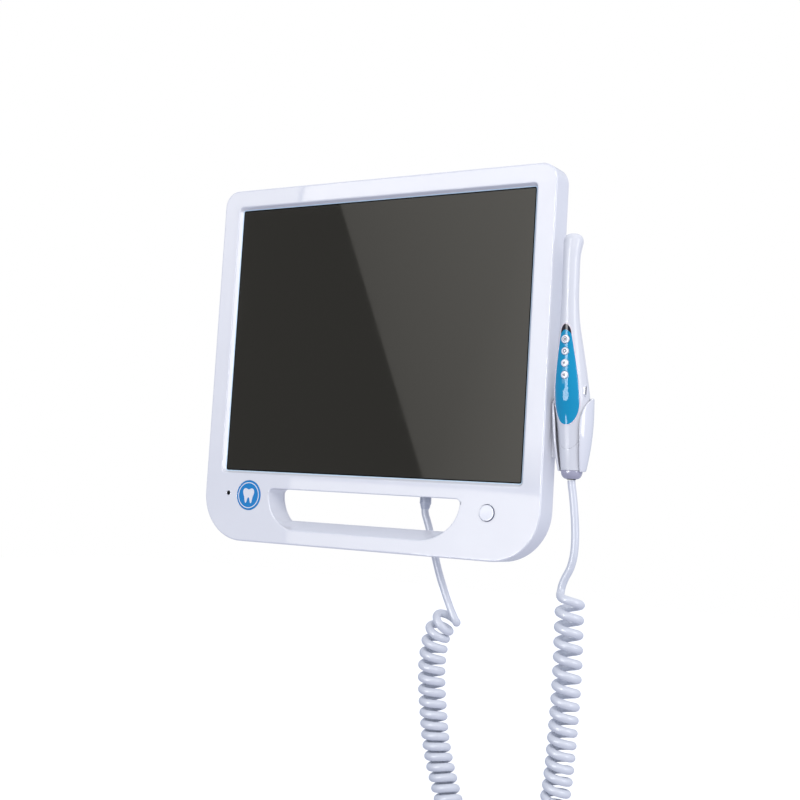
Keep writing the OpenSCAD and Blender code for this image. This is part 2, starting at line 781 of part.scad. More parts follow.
module lens_barrel() color(dark) {
    rod_y([wand_x, window_z], -50, head_flat_y - 1.1, 2.2);
}

module led_ring() color([0.95, 0.95, 0.85]) {
    difference() {
        rod_y([wand_x, window_z], head_flat_y - 2.4, head_flat_y - 1.1, 4.2);
        rod_y([wand_x, window_z], head_flat_y - 3, head_flat_y, 2.4);
    }
}

module sensor_board() color(board_green) {
    box(wand_x - 4, wand_x + 4, -51.2, -50, window_z - 4, window_z + 4);
}

module sensor_flex() color([0.85, 0.55, 0.15]) {
    box(wand_x - 2.5, wand_x + 2.5, -51.7, -51.3, 2, window_z);
}

module switch_board() color(board_green) {
    box(wand_x - 5.5, wand_x + 5.5, switch_board_y, switch_board_y + 1.2, -45, 2);
}

module dome_switches() color(steel) {
    for (z = button_z) rod_y([wand_x, z], switch_top_y, switch_board_y, 1.8);
}

module processor_board() color(board_green) {
    box(wand_x - 6, wand_x + 6, -38, -36.8, -98, -30);
    box(wand_x - 4, wand_x + 4, -36.8, -35.2, -76, -68);
}

module tail_cap() color([0.86, 0.87, 0.91]) {
    translate([wand_x, -31, wand_tail_z - 7.6]) difference() {
        rotate_extrude($fn = 64) polygon(concat([[0, 0]],
            [for (i = [0:6]) let (a = 15 * i) [4.6 + 5 * sin(a), 7 - 7 * cos(a)]], [[9.6, 7.6], [0, 7.6]]));
        translate([0, 0, -1]) cylinder(h = 12, r = 4.2);
    }
}

module cord_boot() color([0.20, 0.20, 0.22]) {
    translate([wand_x, -31, wand_tail_z - 8.2]) cylinder(h = 8, r = 4.1);
}

// ---- cord ----

module cord_wand_lead() color([0.80, 0.82, 0.88]) tube(wand_lead, cord_d / 2, 10, 0, len(wand_lead) - 1);

module cord_plug_lead() color([0.80, 0.82, 0.88]) tube(plug_lead, cord_d / 2, 10, 0, len(plug_lead) - 1);

module cord_coil_wand_side() color([0.80, 0.82, 0.88]) tube(coil_route, curl_r, 12, 0, coil_wand_last);

module cord_coil_bottom() color([0.80, 0.82, 0.88])
    tube(coil_route, curl_r, 12, coil_wand_last, coil_bottom_last);

module cord_coil_monitor_side() color([0.80, 0.82, 0.88])
    tube(coil_route, curl_r, 12, coil_bottom_last, len(coil_route) - 1);

front_bezel();
rear_cover();
rear_cover_screws();
lcd_glass();
diffuser_sheets();
light_guide();
led_bar();
lcd_tray();
chassis_plate();
chassis_screws();
vesa_bushes();
main_board();
main_board_chips();
heat_sink();
power_board();
power_board_parts();
board_standoffs();
board_screws();
power_socket();
usb_socket();
video_socket();
camera_socket();
camera_plug();
plug_strain_relief();
keypad_board();
power_switch();
power_button();
ir_board();
ir_lens();
badge();
holder_bracket();
wand_holder();
holder_pad();
holder_screws();
wand_front_shell();
wand_rear_shell();
wand_screws();
button_panel();
panel_window();
head_window();
lens_barrel();
led_ring();
sensor_board();
sensor_flex();
switch_board();
dome_switches();
processor_board();
capture_button();
freeze_button();
next_button();
previous_button();
side_button();
side_button_rim();
tail_cap();
cord_boot();
cord_wand_lead();
cord_coil_wand_side();
cord_coil_bottom();
cord_coil_monitor_side();
cord_plug_lead();
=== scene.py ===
"""Looks for the intraoral camera: an arm mounted dental monitor, its wand in a cradle, and a curly cord.

Lengths are millimetres in the functions below and become metres when a mesh is made.
The frame is the CAD part's: +X to the viewer's right, +Y to the rear, +Z up.
Its origin is the centre of the mount pattern on the rear.
"""

import json
import math

import bmesh
import bpy
import numpy as np
from mathutils import Matrix, Quaternion, Vector
from mathutils.geometry import delaunay_2d_cdt


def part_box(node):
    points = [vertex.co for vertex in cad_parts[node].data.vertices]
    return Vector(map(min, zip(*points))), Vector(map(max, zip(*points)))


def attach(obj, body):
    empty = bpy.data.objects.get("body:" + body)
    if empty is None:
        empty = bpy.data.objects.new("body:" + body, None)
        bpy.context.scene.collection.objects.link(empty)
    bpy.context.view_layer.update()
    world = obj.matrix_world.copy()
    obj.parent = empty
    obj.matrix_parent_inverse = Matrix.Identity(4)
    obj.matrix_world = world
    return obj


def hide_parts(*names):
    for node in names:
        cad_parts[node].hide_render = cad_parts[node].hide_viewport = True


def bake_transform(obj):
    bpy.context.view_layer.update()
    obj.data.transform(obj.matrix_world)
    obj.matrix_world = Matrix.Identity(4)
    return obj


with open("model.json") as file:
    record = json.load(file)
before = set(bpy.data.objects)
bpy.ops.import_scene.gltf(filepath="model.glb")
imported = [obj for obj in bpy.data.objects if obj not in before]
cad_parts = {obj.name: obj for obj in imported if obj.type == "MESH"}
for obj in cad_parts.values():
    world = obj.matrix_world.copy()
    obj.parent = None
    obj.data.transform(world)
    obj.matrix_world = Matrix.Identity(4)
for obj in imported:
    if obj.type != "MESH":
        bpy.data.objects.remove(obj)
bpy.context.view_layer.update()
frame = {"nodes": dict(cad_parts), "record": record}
NODES = frame["nodes"]
SLOT_OF = {part["node"]: part["material_slot"] for part in frame["record"]["subparts"]}
MM = 0.001


def node_box(node):
    """Lowest and highest corner of a CAD node, in millimetres."""
    low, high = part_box(node)
    return np.array(low) / MM, np.array(high) / MM


# ---- places taken from the frame ----

bezel_low, bezel_high = node_box("front_bezel")
FRONT_Y = bezel_low[1]
SEAM_Y = bezel_high[1]
HALF_W = bezel_high[0]
TOP_Z = bezel_high[2]
BOTTOM_Z = bezel_low[2]
WALL = 3.0
SCREEN_Y = node_box("lcd_glass")[0][1]
SCREEN_HALF_W = 169.0
SCREEN_HALF_H = 135.2
SCREEN_MARGIN = 1.6
BEVEL_W = 3.0
MASK_DEPTH = 4.4
FLAT_RIM = 0.5
FLANGE_Y = SEAM_Y + WALL

SLOT_HALF_W = 109.5
SLOT_TOP = -152.0
SLOT_BOTTOM = -192.0
SLOT_RISE = 9.0

HUMP_HALF_W = 158.0
HUMP_TOP = 120.0
HUMP_BOTTOM = -146.0
VESA_PITCH = 100.0

POWER_AT = (138.0, -163.0)
POWER_R = 7.3
SKIRT_R = 8.7
SKIRT_DEPTH = 3.2
IR_AT = (-160.6, -158.7)
BADGE_AT = (-134.5, -160.0)
BADGE_R = 15.0

WAND_X = 210.5
WAND_TAIL_Z = -121.0
HEAD_Z = 80.0
HEAD_TOP = 88.0
HEAD_FLAT_Y = -43.6
WINDOW_Z = 79.0
TONGUE_Z = -102.5
SPLIT_Z = -84.0
BUTTON_Z = (-7.1, -17.6, -28.0, -38.4)
BUTTON_R = (3.75, 3.4, 3.4, 3.4)
KEY_GAP = 0.25
PANEL_PROUD = 0.25

CRADLE_TOP = Vector((WAND_X, -35.1, -57.0))
CRADLE_LEAN = math.radians(4)

LEAD_R, COIL_R = 3.5, 3.8
CURL_R = 9.4

# The wand's outline from tail to head: height, y of its centre line, radius
WAND_OUTLINE = [
    (-121, -31.0, 9.8), (-108, -32.4, 11.0), (-90, -34.1, 12.5), (-72, -35.8, 14.4),
    (-58, -37.6, 15.8), (-46, -40.2, 15.1), (-30, -43.3, 13.5), (-15, -46.0, 11.7),
    (0, -48.8, 9.8), (14, -50.8, 8.4), (30, -52.2, 7.7), (50, -53.1, 7.6),
    (66, -53.2, 7.6), (74, -52.4, 8.2), (80, -51.0, 8.8),
]

# Cord routes, the same points as the CAD cord follows
WAND_LEAD = [
    (210.5, -30.8, -129.6), (211, -30.6, -134), (212, -30.3, -140), (213.2, -30, -148),
    (214.5, -29.8, -158), (215.5, -29.5, -168), (216.1, -29.2, -178), (216.1, -29, -187),
    (215.2, -28.7, -197), (212.4, -28.4, -207.5), (208, -28.1, -216), (205, -27.8, -224),
    (204.6, -27.9, -231),
]
PLUG_LEAD = [
    (51, -12, -163), (51, -12, -165.4), (51.9, -12, -169), (53.9, -11.9, -174), (57, -11.6, -182.5),
    (60.7, -11.3, -195), (65, -11, -209), (69.8, -10.8, -223), (75.2, -10.7, -236), (80.7, -10.6, -248),
    (85, -10.6, -256.5), (87.8, -10.6, -261),
]
COIL_ROUTE = [
    (214, -28.4, -231), (213.9, -28.4, -260), (214.4, -28.4, -290), (214, -28.4, -320),
    (212.9, -28.4, -350), (211.4, -28.3, -380), (208.5, -27.9, -408), (203, -26.8, -434),
    (194, -25.0, -457), (180.5, -22.6, -475), (163, -19.8, -486), (143, -17.2, -487.5),
    (124, -14.8, -478), (109, -13.0, -461), (98, -11.8, -440), (89, -11.0, -418),
    (81.2, -10.7, -396), (75.5, -10.6, -374), (71.9, -10.6, -352), (69, -10.6, -331.5),
    (67.6, -10.6, -310.5), (69.2, -10.6, -290), (73.2, -10.6, -275.5), (83.5, -10.6, -261.5),
]
CORD_SPLIT_Z = -408.0


# ---- camera ----

CAMERA_AT = Vector((0.6880, -1.0934, -0.1590))
CAMERA_AIMS_AT = Vector((0.0388, -0.05, -0.0616))
CAMERA_ROLL = math.radians(3.445)


def make_camera():
    data = bpy.data.cameras.new("camera")
    data.lens = 58.53
    data.sensor_width = 36
    camera = bpy.data.objects.new("camera", data)
    bpy.context.scene.collection.objects.link(camera)
    turn = (CAMERA_AIMS_AT - CAMERA_AT).to_track_quat("-Z", "Y")
    camera.rotation_mode = "QUATERNION"
    camera.rotation_quaternion = turn @ Quaternion((0, 0, 1), CAMERA_ROLL)
    camera.location = CAMERA_AT
    bpy.context.scene.camera = camera


# ---- materials ----


def colour_ramp(tree, fac, stops):
    node = tree.nodes.new("ShaderNodeValToRGB")
    elements = node.color_ramp.elements
    while len(elements) < len(stops):
        elements.new(0.5)
    for element, (place, colour) in zip(elements, stops):
        element.position = place
        element.color = (*colour, 1)
    tree.links.new(fac, node.inputs["Fac"])
    return node.outputs["Color"]


class Nodes:
    """A material's node tree with short calls for the nodes that the materials share."""

    def __init__(self, name, colour, roughness, **sockets):
        self.material = bpy.data.materials.new(name)
        self.material.use_nodes = True
        self.tree = self.material.node_tree
        self.shader = self.tree.nodes["Principled BSDF"]
        self.shader.inputs["Base Color"].default_value = (*colour, 1)
        self.shader.inputs["Roughness"].default_value = roughness
        for socket, value in sockets.items():
            self.shader.inputs[socket.replace("_", " ")].default_value = value
        self.coords = self.tree.nodes.new("ShaderNodeTexCoord").outputs["Object"]

    def link(self, out, into):
        self.tree.links.new(out, into)

    def noise(self, scale, detail=3.0, vector=None):
        node = self.tree.nodes.new("ShaderNodeTexNoise")
        node.inputs["Scale"].default_value = scale
        node.inputs["Detail"].default_value = detail
        self.link(self.coords if vector is None else vector, node.inputs["Vector"])
        return node.outputs["Fac"]

    def spread(self, fac, low, high):
        node = self.tree.nodes.new("ShaderNodeMapRange")
        node.inputs["From Min"].default_value = 0.3
        node.inputs["From Max"].default_value = 0.7
        node.inputs["To Min"].default_value = low
        node.inputs["To Max"].default_value = high
        self.link(fac, node.inputs["Value"])
        return node.outputs["Result"]

    def mottle(self, colour, amount, scale):
        """The base colour, a little darker and lighter in soft patches."""
        dark = tuple(c * (1 - amount) for c in colour)
        light = tuple(min(1, c * (1 + amount)) for c in colour)
        shades = colour_ramp(self.tree, self.noise(scale), [(0.3, dark), (0.7, light)])
        self.link(shades, self.shader.inputs["Base Color"])

    def uneven(self, low, high, scale):
        """Roughness that wanders between two values."""
        self.link(self.spread(self.noise(scale, 5.0), low, high), self.shader.inputs["Roughness"])

    def bump(self, height, strength, distance):
        node = self.tree.nodes.new("ShaderNodeBump")
        node.inputs["Strength"].default_value = strength
        node.inputs["Distance"].default_value = distance * MM
        self.link(height, node.inputs["Height"])
        self.link(node.outputs["Normal"], self.shader.inputs["Normal"])


def moulded(name, colour, roughness, grain=2500, bump=0.05, mottle=0.012, **sockets):
    """Moulded plastic: soft patches of colour, uneven gloss and a fine skin."""
    m = Nodes(name, colour, roughness, **sockets)
    m.mottle(colour, mottle, 22)
    m.uneven(roughness * 0.85, roughness * 1.2, 60)
    m.bump(m.noise(grain), bump, 0.02)
    return m.material


def metal(name, colour, roughness, grain=900, **sockets):
    m = Nodes(name, colour, roughness, Metallic=1.0, **sockets)
    m.mottle(colour, 0.06, 120)
    m.uneven(roughness * 0.7, roughness * 1.4, 300)
    m.bump(m.noise(grain), 0.08, 0.02)
    return m.material


def circuit_board(name):
    """Green solder mask over copper runs."""
    m = Nodes(name, (0.04, 0.2, 0.1), 0.35)
    cells = m.tree.nodes.new("ShaderNodeTexVoronoi")
    cells.distance = "CHEBYCHEV"
    cells.inputs["Scale"].default_value = 300
    m.link(m.coords, cells.inputs["Vector"])
    stops = [(0.32, (0.03, 0.16, 0.08)), (0.38, (0.06, 0.3, 0.15))]
    runs = colour_ramp(m.tree, cells.outputs["Distance"], stops)
    m.link(runs, m.shader.inputs["Base Color"])
    m.bump(cells.outputs["Distance"], 0.2, 0.03)
    return m.material


def screen_glass(name):
    """The dark polariser, with a narrow blacker margin round the picture area."""
    m = Nodes(name, (0.02, 0.019, 0.016), 0.03, Specular_IOR_Level=0.5)
    split = m.tree.nodes.new("ShaderNodeSeparateXYZ")
    m.link(m.coords, split.inputs["Vector"])
    edges = []
    for axis, half in (("X", SCREEN_HALF_W), ("Z", SCREEN_HALF_H)):
        size = m.tree.nodes.new("ShaderNodeMath")
        size.operation = "ABSOLUTE"
        m.link(split.outputs[axis], size.inputs[0])
        past = m.tree.nodes.new("ShaderNodeMath")
        past.operation = "GREATER_THAN"
        past.inputs[1].default_value = (half - SCREEN_MARGIN) * MM
        m.link(size.outputs[0], past.inputs[0])
        edges.append(past.outputs[0])
    either = m.tree.nodes.new("ShaderNodeMath")
    either.operation = "MAXIMUM"
    m.link(edges[0], either.inputs[0])
    m.link(edges[1], either.inputs[1])
    stops = [(0.0, (0.0145, 0.0135, 0.0105)), (1.0, (0.006, 0.006, 0.006))]
    shades = colour_ramp(m.tree, either.outputs[0], stops)
    m.link(shades, m.shader.inputs["Base Color"])
    m.uneven(0.02, 0.035, 40)
    return m.material


# Each look: maker, name, colour, roughness, and what differs from the maker's defaults
LOOKS = [
    (moulded, "shell_white", (0.83, 0.835, 0.87), 0.42, dict(
        Specular_IOR_Level=0.2, Coat_Weight=1.0, Coat_Roughness=0.03)),
    (moulded, "wand_white", (0.80, 0.805, 0.83), 0.22, dict(Specular_IOR_Level=0.25)),
    (metal, "screw_steel", (0.55, 0.55, 0.57), 0.3, {}),
    (moulded, "diffuser_white", (0.88, 0.88, 0.86), 0.6, {}),
    (moulded, "light_guide", (0.75, 0.82, 0.86), 0.1, dict(Transmission_Weight=0.4)),
    (moulded, "led_white", (0.9, 0.88, 0.7), 0.3, {}),
    (metal, "tray_steel", (0.6, 0.61, 0.63), 0.38, dict(grain=600)),
    (metal, "bush_brass", (0.7, 0.5, 0.2), 0.28, {}),
    (moulded, "chip_black", (0.03, 0.03, 0.033), 0.5, {}),
    (metal, "sink_aluminium", (0.55, 0.57, 0.6), 0.4, {}),
    (moulded, "socket_black", (0.02, 0.02, 0.023), 0.42, {}),
    (metal, "socket_steel", (0.62, 0.63, 0.65), 0.22, {}),
    (moulded, "plug_grey", (0.60, 0.63, 0.71), 0.4, dict(grain=1600, bump=0.12)),
    (moulded, "button_white", (0.86, 0.87, 0.91), 0.2, dict(Coat_Weight=0.3)),
    (moulded, "icon_grey", (0.03, 0.03, 0.07), 0.45, {}),
    (moulded, "window_black", (0.008, 0.008, 0.02), 0.1, dict(
        Specular_IOR_Level=0.25, Coat_Weight=0.2, Coat_Roughness=0.05)),
    (moulded, "badge_blue", (0.0, 0.235, 0.60), 0.3, dict(Specular_IOR_Level=0.15, Coat_Weight=0.15)),
    (moulded, "badge_white", (0.85, 0.87, 0.90), 0.3, dict(Specular_IOR_Level=0.2, Coat_Weight=0.15)),
    (moulded, "rim_blue", (0.66, 0.84, 0.96), 0.35, {}),
    (moulded, "mask_black", (0.016, 0.014, 0.008), 0.5, dict(Specular_IOR_Level=0.1)),
    # The power key's side wall and skirt are dark: painted shade, standing for the shadow in the gap round
    # the raised key
    (moulded, "skirt_grey", (0.10, 0.12, 0.22), 0.5, dict(Specular_IOR_Level=0.1)),
    (moulded, "lens_black", (0.004, 0.004, 0.004), 0.6, dict(Specular_IOR_Level=0.05)),
    (moulded, "pad_grey", (0.36, 0.38, 0.43), 0.85, dict(grain=1200, bump=0.35, Sheen_Weight=0.3)),
    (moulded, "panel_blue", (0.0, 0.325, 0.575), 0.3, dict(
        mottle=0.03, bump=0.02, Specular_IOR_Level=0.0, Coat_Weight=1.0, Coat_Roughness=0.02,
        Coat_IOR=1.4)),
    # Pale pink bead round the wand's blue panel: a painted highlight on the edge of the panel's recess
    (moulded, "rim_pink", (0.93, 0.80, 0.82), 0.2, dict(Coat_Weight=0.4)),
    (moulded, "lens_glass", (0.25, 0.3, 0.45), 0.04, dict(Transmission_Weight=0.85, Coat_Weight=1.0)),
    (moulded, "flex_amber", (0.6, 0.3, 0.05), 0.4, {}),
    # tail_grey: the tail cap's own grey, made darker to carry the shade under the wand's tail, so partly
    # painted shade
    (moulded, "tail_grey", (0.43, 0.42, 0.52), 0.22, dict(Coat_Weight=0.4)),
    (moulded, "boot_black", (0.03, 0.03, 0.035), 0.6, dict(grain=1500, bump=0.2)),
    (moulded, "cord_white", (0.72, 0.74, 0.79), 0.38, dict(grain=1800, bump=0.10, Coat_Weight=0.15)),
]


def make_materials():
    made = {"screen_glass": screen_glass("screen_glass"), "board_green": circuit_board("board_green")}
    for maker, name, colour, roughness, more in LOOKS:
        made[name] = maker(name, colour, roughness, **more)
    return made


# ---- mesh helpers ----


def smooth_row(rows, place, column):
    """Smooth value through rows of (place, a, b, ...)."""
    last = len(rows) - 2
    i = min(last, sum(1 for row in rows[1:-1] if place >= row[0]))

    def slope(j):
        a, b = rows[max(0, j - 1)], rows[min(len(rows) - 1, j + 1)]
        return (b[column] - a[column]) / (b[0] - a[0])

    h = rows[i + 1][0] - rows[i][0]
    u = (place - rows[i][0]) / h
    return (
        (2 * u**3 - 3 * u**2 + 1) * rows[i][column]
        + (u**3 - 2 * u**2 + u) * h * slope(i)
        + (3 * u**2 - 2 * u**3) * rows[i + 1][column]
        + (u**3 - u**2) * h * slope(i + 1)
    )


class Build:
    """Collects points and faces of one piece, in millimetres."""

    def __init__(self):
        self.points, self.faces, self.looks = [], [], []
        self.look = 0

    def add(self, points, faces):
        first = len(self.points)
        self.points += [tuple(p) for p in points]
        self.faces += [[first + i for i in face] for face in faces]
        self.looks += [self.look] * len(faces)
        return self

    def strip(self, rings, closed=True):
        """Quads between rings of the same number of points."""
        n = len(rings[0])
        steps = n if closed else n - 1
        faces = [
            (i * n + k, i * n + (k + 1) % n, (i + 1) * n + (k + 1) % n, (i + 1) * n + k)
            for i in range(len(rings) - 1)
            for k in range(steps)
        ]
        return self.add([p for ring in rings for p in ring], faces)

    def cap(self, ring):
        return self.add(ring, [tuple(range(len(ring)))])

    def solid(self, rings):
        """A strip with both ends closed."""
        return self.strip(rings).cap(rings[0]).cap(rings[-1])

    def fill(self, outer, holes, place):
        """A flat face with holes; place turns a 2D point into a 3D one."""
        loops = [outer, *holes]
        flat, edges = [], []
        for loop in loops:
            first = len(flat)
            flat += [Vector(p) for p in loop]
            edges += [(first + i, first + (i + 1) % len(loop)) for i in range(len(loop))]
        points, _, faces, _, _, _ = delaunay_2d_cdt(flat, edges, [], 0, 1e-5)
        kept = []
        for face in faces:
            middle = sum((points[i] for i in face), Vector((0, 0))) / len(face)
            if inside(middle, outer) and not any(inside(middle, hole) for hole in holes):
                kept.append(tuple(face))
        return self.add([place(p) for p in points], kept)

    def piece(self, name, material, sharp=32, materials=(), merge=0.002):
        mesh = bpy.data.meshes.new(name)
        mesh.from_pydata([[c * MM for c in p] for p in self.points], [], self.faces)
        mesh.polygons.foreach_set("material_index", self.looks)
        for m in (material, *materials):
            mesh.materials.append(MATERIALS[m])
        obj = bpy.data.objects.new(name, mesh)
        bpy.context.scene.collection.objects.link(obj)
        clean(mesh, merge)
        finish_shading(obj, sharp)
        return obj


def inside(point, loop):
    x, y = point
    found = False
    for (ax, ay), (bx, by) in zip(loop, [*loop[1:], loop[0]]):
        if (ay > y) != (by > y) and x < (bx - ax) * (y - ay) / (by - ay) + ax:
            found = not found
    return found


def clean(mesh, merge=0.002):
    bm = bmesh.new()
    bm.from_mesh(mesh)
    bmesh.ops.remove_doubles(bm, verts=bm.verts, dist=merge * MM)
    bmesh.ops.dissolve_degenerate(bm, edges=bm.edges, dist=merge * MM / 2)
    bmesh.ops.recalc_face_normals(bm, faces=bm.faces)
    bm.to_mesh(mesh)
    bm.free()


def finish_shading(obj, sharp):
    mesh = obj.data
    mesh.polygons.foreach_set("use_smooth", [True] * len(mesh.polygons))
    mesh.set_sharp_from_angle(angle=math.radians(sharp))
    weighted = obj.modifiers.new("weighted", "WEIGHTED_NORMAL")
    weighted.keep_sharp = True


def baked(obj, sharp=32):
    """Applies the piece's modifiers and shades it again."""
    obj.modifiers.remove(obj.modifiers["weighted"])
    bpy.context.view_layer.update()
    shown = obj.evaluated_get(bpy.context.evaluated_depsgraph_get())
    obj.data = bpy.data.meshes.new_from_object(shown)
    obj.modifiers.clear()
    clean(obj.data)
    finish_shading(obj, sharp)
    return obj


def cut(obj, cutter, sharp=32):
    """Takes the cutter's shape out of the piece and removes the cutter."""
    boolean = obj.modifiers.new("cut", "BOOLEAN")
    boolean.object = cutter
    boolean.solver = "EXACT"
    baked(obj, sharp)
    bpy.data.objects.remove(cutter)
    return obj


def place_on(obj, body, slot, *stands_for):
    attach(obj, body)
    if stands_for:
        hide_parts(*stands_for)
    return obj


def rounded_loop(x0, x1, z0, z1, radii, n=14):
    """A rounded box's outline as 2D points.

    radii are (along x, along z) pairs, corner by corner from the lower left, anticlockwise.
    """
    corners = [(x0, z0, 180), (x1, z0, 270), (x1, z1, 0), (x0, z1, 90)]
    loop = []
    for (x, z, start), (rx, rz) in zip(corners, radii):
        cx = x + rx if x == x0 else x - rx
        cz = z + rz if z == z0 else z - rz
        for k in range(n + 1):
            a = math.radians(start + 90 * k / n)
            loop.append((cx + rx * math.cos(a), cz + rz * math.sin(a)))
    return loop


def circle_loop(at, r, n=64):
    turns = [2 * math.pi * k / n for k in range(n)]
    return [(at[0] + r * math.cos(a), at[1] + r * math.sin(a)) for a in turns]


def capsule_loop(cx, z0, z1, r, n=8):
    turns = [math.pi * k / n for k in range(n + 1)]
    upper = [(cx + r * math.cos(a), z1 - r + r * math.sin(a)) for a in turns]
    return upper + [(cx - (x - cx), z0 + r - (z - z1 + r)) for x, z in upper]


def at_depth(loop, y):
    return [(x, y, z) for x, z in loop]


def quarter(r, steps=6):
    """(inset, depth) pairs round a quarter circle, from the face to the side."""
    turns = [math.radians(90 * k / steps) for k in range(steps + 1)]
    return [(r * (1 - math.sin(a)), r * (1 - math.cos(a))) for a in turns]


def dome(r, top, rise, step=15):
    """(radius, height) profile of a shallow dome, from its middle to its edge."""
    turns = [math.radians(a) for a in range(0, 91, step)]
    return [(r * math.sin(a), top - rise + rise * math.cos(a)) for a in turns]


def lathe(build, profile, place, n=48):
    """Turns a profile of (radius, height) round an axis; place turns (x, y, height) into the frame."""
    rings = []
    for r, h in profile:
        rings.append([place(x, y, h) for x, y in circle_loop((0, 0), max(r, 0.001), n)])
    return build.strip(rings)


def facing_front(at):
    """Place for a lathe whose height runs forward, out of the front face, from y 0."""
    return lambda a, b, h: (at[0] + a, -h, at[1] + b)


# ---- cords ----


def spline(points, step=2.0):
    """Catmull-Rom curve through the points, sampled about step apart."""
    p = np.array(points, float)
    p = np.vstack([2 * p[0] - p[1], p, 2 * p[-1] - p[-2]])
    out = []
    for i in range(1, len(p) - 2):
        n = max(2, int(np.linalg.norm(p[i + 1] - p[i]) / step))
        for k in range(n):
            t = k / n
            out.append(
                0.5
                * (
                    2 * p[i]
                    + (p[i + 1] - p[i - 1]) * t
                    + (2 * p[i - 1] - 5 * p[i] + 4 * p[i + 1] - p[i + 2]) * t**2
                    + (3 * p[i] - p[i - 1] - 3 * p[i + 1] + p[i + 2]) * t**3
                )
            )
    out.append(p[-2])
    return np.array(out)


def carried_frames(line, first_side):
    """Tangents and a side vector carried along the line without twist."""
    tangents = np.gradient(line, axis=0)
    tangents /= np.linalg.norm(tangents, axis=1)[:, None]
    side = np.array(first_side, float)
    sides = []
    for t in tangents:
        side = side - (side @ t) * t
        side /= np.linalg.norm(side)
        sides.append(side.copy())
    return tangents, np.array(sides)


def ring_round(p, a, b, r, n):
    """n points round p, in the plane of the two unit vectors a and b."""
    turns = np.linspace(0, 2 * np.pi, n, endpoint=False)
    return [p + r * (math.cos(v) * a + math.sin(v) * b) for v in turns]


def along(line):
    return np.concatenate([[0], np.cumsum(np.linalg.norm(np.diff(line, axis=0), axis=1))])


def hermite(a, ta, b, tb, n):
    """Points between a and b that leave and arrive along the two tangents."""
    u = np.linspace(0, 1, n + 1)[1:-1, None]
    return (
        (2 * u**3 - 3 * u**2 + 1) * a
        + (u**3 - 2 * u**2 + u) * ta
        + (3 * u**2 - 2 * u**3) * b
        + (u**3 - u**2) * tb
    )


POINTS_A_TURN = 28
# Pitch of the curls, from the wand's side to the monitor's: share of the way, millimetres
PITCHES = [
    (0, 13.6), (0.12, 12.4), (0.24, 10.5), (0.35, 9.8), (0.7, 9.7), (0.78, 9.5), (0.87, 10.8),
    (0.97, 11.2), (1, 12),
]


def helix():
    """The curly part from the wand's side, down, round and up to the monitor's side."""
    line = spline(COIL_ROUTE, 1.0)
    s = along(line)
    pitch = np.interp(s / s[-1], *zip(*PITCHES))
    turn = np.concatenate([[0], np.cumsum(np.diff(s) / pitch[1:])])
    turns = round(turn[-1])
    turn *= turns / turn[-1]
    tangents, sides = carried_frames(line, (-1, 0, 0))
    fine = np.linspace(0, turns, turns * POINTS_A_TURN + 1)
    at = np.interp(fine, turn, s)
    pick = lambda table: np.stack([np.interp(at, s, table[:, k]) for k in range(3)], axis=1)
    centre, t, a = pick(line), pick(tangents), pick(sides)
    b = np.cross(t, a)
    angle = 2 * np.pi * fine[:, None]
    return centre + CURL_R * (np.cos(angle) * a - np.sin(angle) * b)


def bridge(a, b, n):
    """Joins the end of one line to the start of the next, smooth at both ends."""
    unit = lambda v: v / np.linalg.norm(v)
    pull = 1.1 * np.linalg.norm(b[0] - a[-1])
    return hermite(a[-1], pull * unit(a[-1] - a[-2]), b[0], pull * unit(b[1] - b[0]), n)


def joined_cord():
    """The whole cord's centre line, from the wand to the plug, and its radius at each point."""
    curl = helix()
    skip_top, skip_end = int(0.22 * POINTS_A_TURN), int(0.14 * POINTS_A_TURN)
    curl = curl[skip_top : len(curl) - skip_end]
    lead = spline(WAND_LEAD, 1.5)
    lead = lead[lead[:, 2] > -226]
    plug = spline(PLUG_LEAD, 1.5)[::-1]
    plug = plug[plug[:, 2] > -257]
    top = bridge(lead, curl, 10)
    end = bridge(curl, plug, 12)
    radius = np.concatenate([
        np.full(len(lead), LEAD_R), np.linspace(LEAD_R, COIL_R, len(top)), np.full(len(curl), COIL_R),
        np.linspace(COIL_R, LEAD_R, len(end)), np.full(len(plug), LEAD_R),
    ])
    return np.vstack([lead, top, curl, end, plug]), radius


def cord_tube(name, line, radii, sides=16):
    """A round tube along the line, closed at both ends."""
    tangents, across = carried_frames(line, (0, 1, 0))
    other = np.cross(tangents, across)
    build = Build()
    rings = [ring_round(p, a, b, r, sides) for p, a, b, r in zip(line, across, other, radii)]
    build.strip(rings).cap(rings[0]).cap(rings[-1][::-1])
    return build.piece(name, "cord_white", sharp=60)


def make_cords():
    """One cord in two pieces that meet below the picture.

    One stays with the monitor; the other runs from the wand and is put on no body.
    """
    whole, radius = joined_cord()
    split = int(np.argmax(whole[:, 2] < CORD_SPLIT_Z))
    upper, lower = whole[: split + 1], whole[split:][::-1]
    wand_side = cord_tube("cord_wand_side", upper, radius[: split + 1])
    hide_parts("cord_wand_lead", "cord_coil_wand_side")
    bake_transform(wand_side)
    monitor_side = place_on(
        cord_tube("cord_monitor_side", lower, radius[split:][::-1]), "root", "cord_white",
        "cord_plug_lead", "cord_coil_monitor_side", "cord_coil_bottom",
    )
    plug = make_plug()


